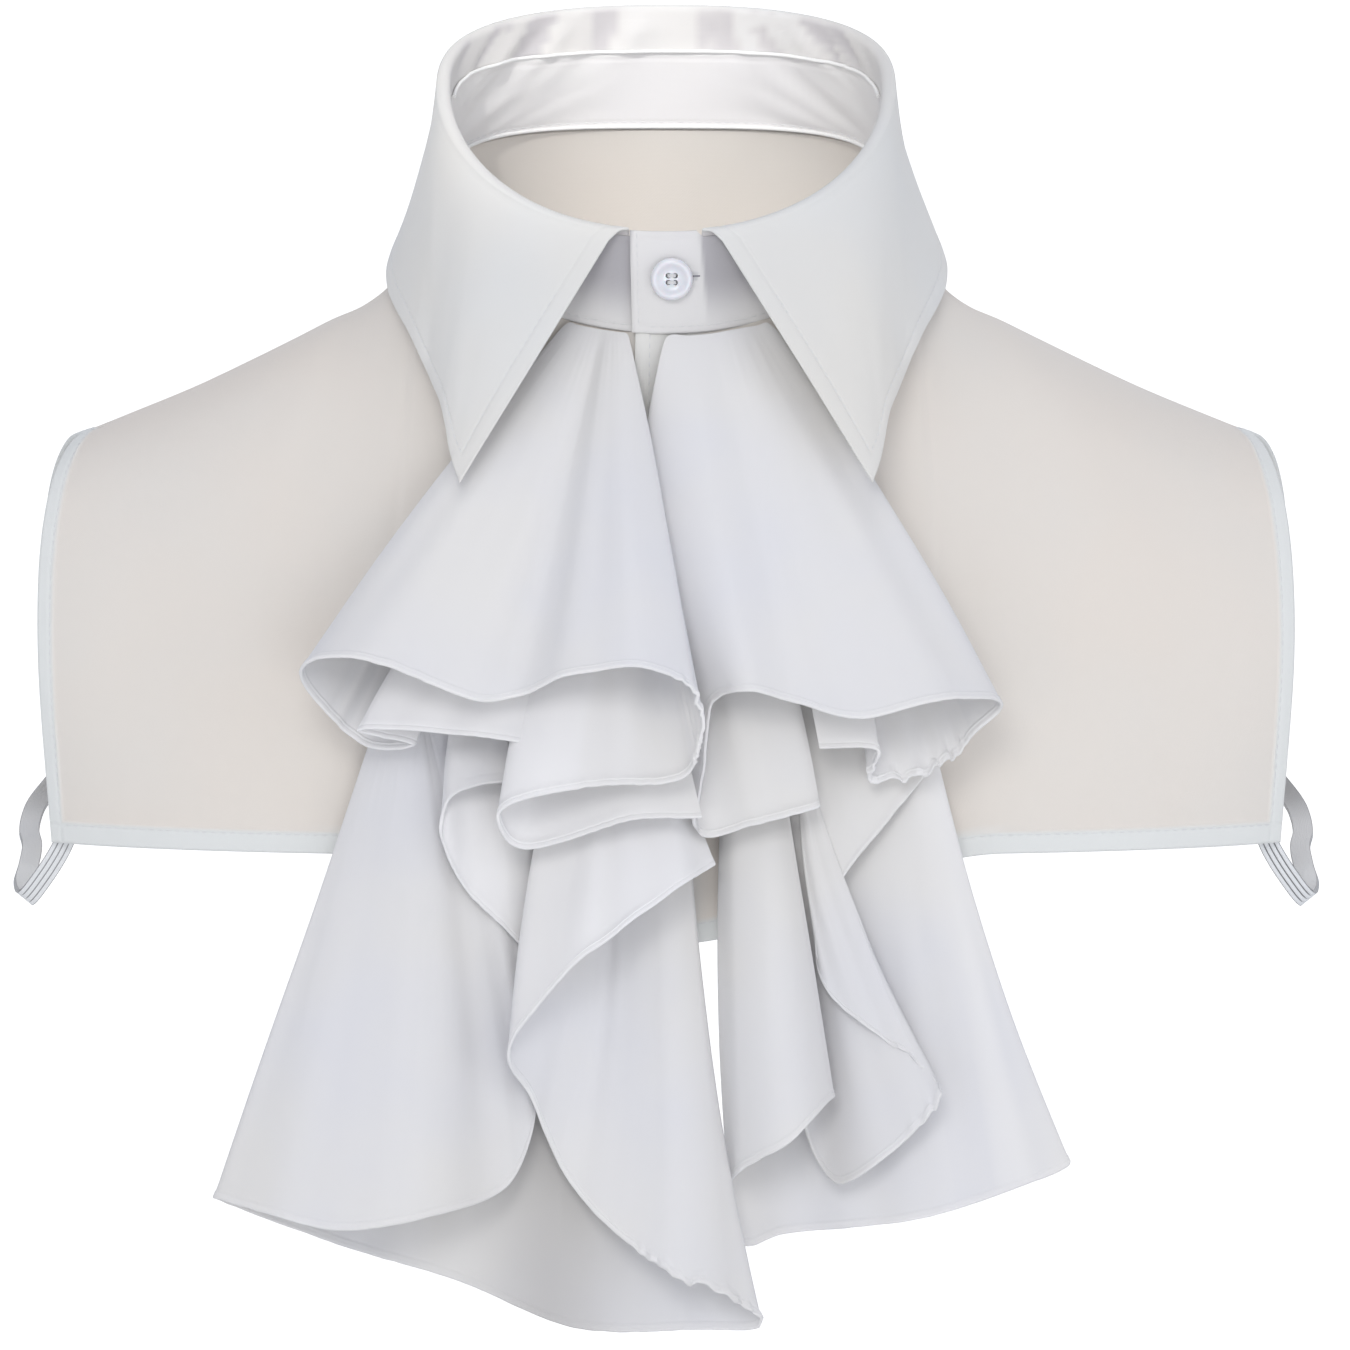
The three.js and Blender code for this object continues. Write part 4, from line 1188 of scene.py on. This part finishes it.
ruffleCloth = {
    "wall": 0.55, "hemDepth": 2.3, "hemWall": 1.05, "seamIn": 0.7, "columnPitch": 1.1,
    "flute": 1.5, "fluteLength": 13, "pucker": 0.2, "puckerLength": 2.4, "crease": 0.35, "creaseLength": 26,
    "scallop": 0.25, "scallopLength": 3, "gatherLength": 6,
    "edgeTone": 0.4, "hemTone": 0.12, "fluteTone": 0.6, "foldTone": 0.8,
    "slot": "ruffle_cloth", "finish": "ruffleCrepe", "held": "gathered", "restsOn": ["band"],
}
# places across a ruffle go from 0 to 1: pulled is from, to and amount, shaded is from and to of painted shade
# along a fold, and each row of lit (painted light) and shades (painted shade) is place, width and amount
ruffles = [
    {"name": "upperLeft", "node": "jabot_upper_left", "folds": upperLeftFolds, "seed": 1.0, "gather": 0.12,
     "flat": (0.425, 0.14), "area": 0.0255, "pulled": (0.62, 0.74, 5), "shaded": (0.5, 0.68),
     "lit": [(0.12, 0.12, 0.8), (0.86, 0.12, 0.8)], "shades": []},
    {"name": "upperRight", "node": "jabot_upper_right", "folds": upperRightFolds, "seed": 11.0,
     "gather": 0.12, "flat": (0.27, 0.14), "area": 0.019, "pulled": (0.08, 0.25, 8), "shaded": (0.55, 0.74),
     "lit": [(0.12, 0.12, 0.6), (0.76, 0.07, 0.9)], "shades": []},
    {"name": "lowerLeft", "node": "jabot_lower_left", "folds": lowerLeftFolds, "seed": 21.0, "gather": 0.2,
     "flat": (0.625, 0.19), "area": 0.048, "pulled": (0.26, 0.37, 8), "shaded": (0.66, 0.84),
     "lit": [(0.05, 0.08, 0.9), (0.86, 0.12, 0.9)],
     "shades": [(0.325, 0.02, 0.2), (0.437, 0.02, 0.6), (0.66, 0.015, 0.2)]},
    {"name": "lowerRight", "node": "jabot_lower_right", "folds": lowerRightFolds, "seed": 31.0, "gather": 0.2,
     "flat": (0.39, 0.165), "area": 0.026, "pulled": (0.66, 0.75, 8), "shaded": (0.34, 0.6),
     "lit": [(0.06, 0.05, 0.4)], "shades": [(0.49, 0.02, 0.3), (0.6, 0.04, 0.45)]},
]


# Values from 0 to 1 that lie an even distance apart along the longer-moving of two curves, with the
# distance come so far
def evenAlong(curves, pitch, samples=4000):
    ends = [curve(0) for curve in curves]
    values, distances, length = [0.0], [0.0], 0.0
    for k in range(1, samples + 1):
        places = [curve(k / samples) for curve in curves]
        length += max((a - b).length for a, b in zip(places, ends))
        ends = places
        if length >= len(values) * pitch or k == samples:
            values.append(k / samples)
            distances.append(length)
    return values, distances


# The sum of bell curves, each given as place, width and height
def bells(u, rows):
    return sum(height * onLine(u, place, width) for place, width, height in rows)


def buildRuffle(ruffle):
    cloth = {**ruffleCloth, **ruffle}
    seed = cloth["seed"]
    topCurve = tableCurve([row[0:3] for row in cloth["folds"]])
    hemCurve = tableCurve([row[3:6] for row in cloth["folds"]])
    formCurve = tableCurve([(row[7], row[6], 0) for row in cloth["folds"]])
    across, distances = evenAlong([topCurve, hemCurve], cloth["columnPitch"])
    sweep = dict(zip(across, distances))

    # how strongly the hem's stitching has pulled the edge into puckers
    def pulledAt(u):
        first, last, amount = cloth["pulled"]
        inRange = ease((u - first) / 0.02) * ease((last - u) / 0.02)
        return 0.4 + 2.2 * max(0, ripple(sweep[u] / 45, 5.0, seed + 1)) + amount * inRange

    def surfaceAt(u, v):
        swing, bow, _ = formCurve(u)
        arch = sin(pi * v)
        scallop = cloth["scallop"] * ripple(sweep[u] / cloth["scallopLength"], 2.5, seed + 6)
        lift = v ** 20 * pulledAt(u) * scallop
        return topCurve(u).lerp(hemCurve(u), v) + Vector((swing * arch, -bow * arch, lift))

    def wallAt(u, v, edges):
        onHem = ease((cloth["hemDepth"] - edges["hem"]) / 0.5 + 0.5)
        wall = mix(cloth["wall"], cloth["hemWall"], onHem)
        wall *= 1 - 0.3 * onLine(edges["hem"], cloth["hemDepth"] - cloth["seamIn"], 0.25)
        return roundedWall(wall, edges["hem"], 0.5)

    def fluteAt(u, v):
        fade = ease((v - 0.15) / 0.6)
        return cloth["flute"] * fade * ripple(sweep[u] / cloth["fluteLength"], v * 0.6, seed)

    def proudAt(u, v, edges):
        nearHem = ease((5 - edges["hem"]) / 4)
        pucker = cloth["pucker"] * ripple(sweep[u] / cloth["puckerLength"], edges["hem"] * 0.15, seed + 2)
        gather = cloth["gather"] * ripple(sweep[u] / cloth["gatherLength"], v * 1.5, seed + 4)
        crease = cloth["crease"] * ripple(sweep[u] / cloth["creaseLength"], v * 3, seed + 8)
        return (fluteAt(u, v) + pulledAt(u) * nearHem * pucker
                + (1 - v) ** 3 * ease(v * 14) * gather + sin(pi * v) * crease)

    # a pale edge and hem, painted light on the shaded inner layers near the ends, and painted lavender shade in
    # the flutes and along one deep fold
    def toneAt(u, v, edges):
        edge = cloth["edgeTone"] + 0.5 * ripple(sweep[u] / 20, 1.5, seed + 7)
        edge *= ease((0.9 - edges["hem"]) / 0.5)
        hem = cloth["hemTone"] * ease((cloth["hemDepth"] - edges["hem"]) / 0.4)
        first, last = cloth["shaded"]
        fold = sin(pi * min(1, max(0, (u - first) / (last - first)))) ** 2
        flute = ease(-fluteAt(u, v) / 0.8)
        shaded = min(1, cloth["foldTone"] * fold + cloth["fluteTone"] * flute)
        return max(edge, hem, mix(-shaded, 1, min(1, bells(u, cloth["lit"]))))

    down = bandedSteps(length=110, count=34, band=3.4, fineCount=14)
    form = addCloth(cloth["name"], cloth, surfaceAt, across, down, wallAt, proudAt, toneAt)
    # painted shade, deepest on the lower left's back layer and in a few deep folds
    shades = [bells(u, cloth["shades"]) for u in across for _ in down]
    form["piece"].data.attributes.new("shade", "FLOAT", "POINT").data.foreach_set("value", shades * 2)
    declareSheet(form, cloth)
    print(cloth["name"], "ruffle built")


# Elastics

elastic = {
    "width": 6, "ribs": 4, "ribWall": 1.4, "grooveWall": 0.75, "columns": 110, "rows": 40, "reverse": 0.5,
    "ribsFrom": 0.7, "ribsFade": 0.05, "pinch": 0.5, "pinchTo": 0.2, "pinchFade": 0.08,
    "outlineTone": 0.5, "rootTone": 0.4, "rootTo": 0.34, "rootFade": 0.22,
    "slot": "elastic", "finish": "elasticWeave",
}
# from behind the back's corner to the low bend and up to the front's corner: x, y, z, lean
elasticPath = [
    (176, 62, -162, 25),
    (182.5, 59.4, -170, 25),
    (187, 45, -174.5, 12),
    (188.8, 25, -177, 4),
    (189.2, 5, -179.5, 0),
    (188, -15, -181.8, 4),
    (188.8, -32, -185.6, 14),
    (190.2, -41, -190.6, 30),
    (189.2, -47, -193.2, 40),
    (184, -52, -186.5, 36),
    (178.6, -55.3, -177.5, 34),
    (175.5, -57.1, -170, 34),
]


def buildElastic(name, node, side):
    path = tableCurve([row[0:3] for row in elasticPath])
    leans = tableCurve([(row[3], 0, 0) for row in elasticPath])

    def surfaceAt(u, v):
        lean = radians(leans(u).x)
        offset = (v - 0.5) * elastic["width"]
        point = path(u) - Vector((cos(lean), 0, sin(lean))) * offset
        point.x *= side
        return point

    # 1 on the ribs, 0 in the grooves; the part that turns its satin side out is only pinched at its root
    def ribAt(u, v):
        ribbed = ease((u - elastic["ribsFrom"]) / elastic["ribsFade"])
        ribbed += elastic["pinch"] * ease((elastic["pinchTo"] - u) / elastic["pinchFade"])
        return 1 - ribbed * (1 - abs(sin(pi * elastic["ribs"] * v)))

    def wallAt(u, v, edges):
        return mix(elastic["grooveWall"], elastic["ribWall"], ribAt(u, v) ** 0.6)

    # painted shade in the grooves between the ribs and at the root, where it comes out from behind the bib; darker
    # along both edges
    def toneAt(u, v, edges):
        outline = elastic["outlineTone"] * ease((0.05 - min(v, 1 - v)) / 0.03)
        root = elastic["rootTone"] * ease((elastic["rootTo"] - u) / elastic["rootFade"])
        return max(outline, root, 1 - ease(ribAt(u, v) / 0.5))

    addCloth(name, {**elastic, "node": node}, surfaceAt, evenSteps(elastic["columns"]),
             evenSteps(elastic["rows"]), wallAt, lambda u, v, edges: 0, toneAt)


finishes["buttonShell"] = buttonMaterial()
buildStand()
buildLeaf()
buildButton()
frontPanel("frontPanelLeft", "front_panel_left", -1, -frontReach(bib["frontUnderEnd"]))
frontPanel("frontPanelRight", "front_panel_right", 1, frontReach(bib["frontOverEnd"]))
backPanel()
print("bib built")
for ruffle in ruffles:
    buildRuffle(ruffle)
for name, node, side in (("elasticLeft", "elastic_left", -1), ("elasticRight", "elastic_right", 1)):
    buildElastic(name, node, side)
print("elastics built")

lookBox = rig.bounds()
with open("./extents.json", "w") as sizeFile:
    json.dump({"cad": [list(corner) for corner in cadBox],
               "visual": [list(corner) for corner in lookBox]}, sizeFile)
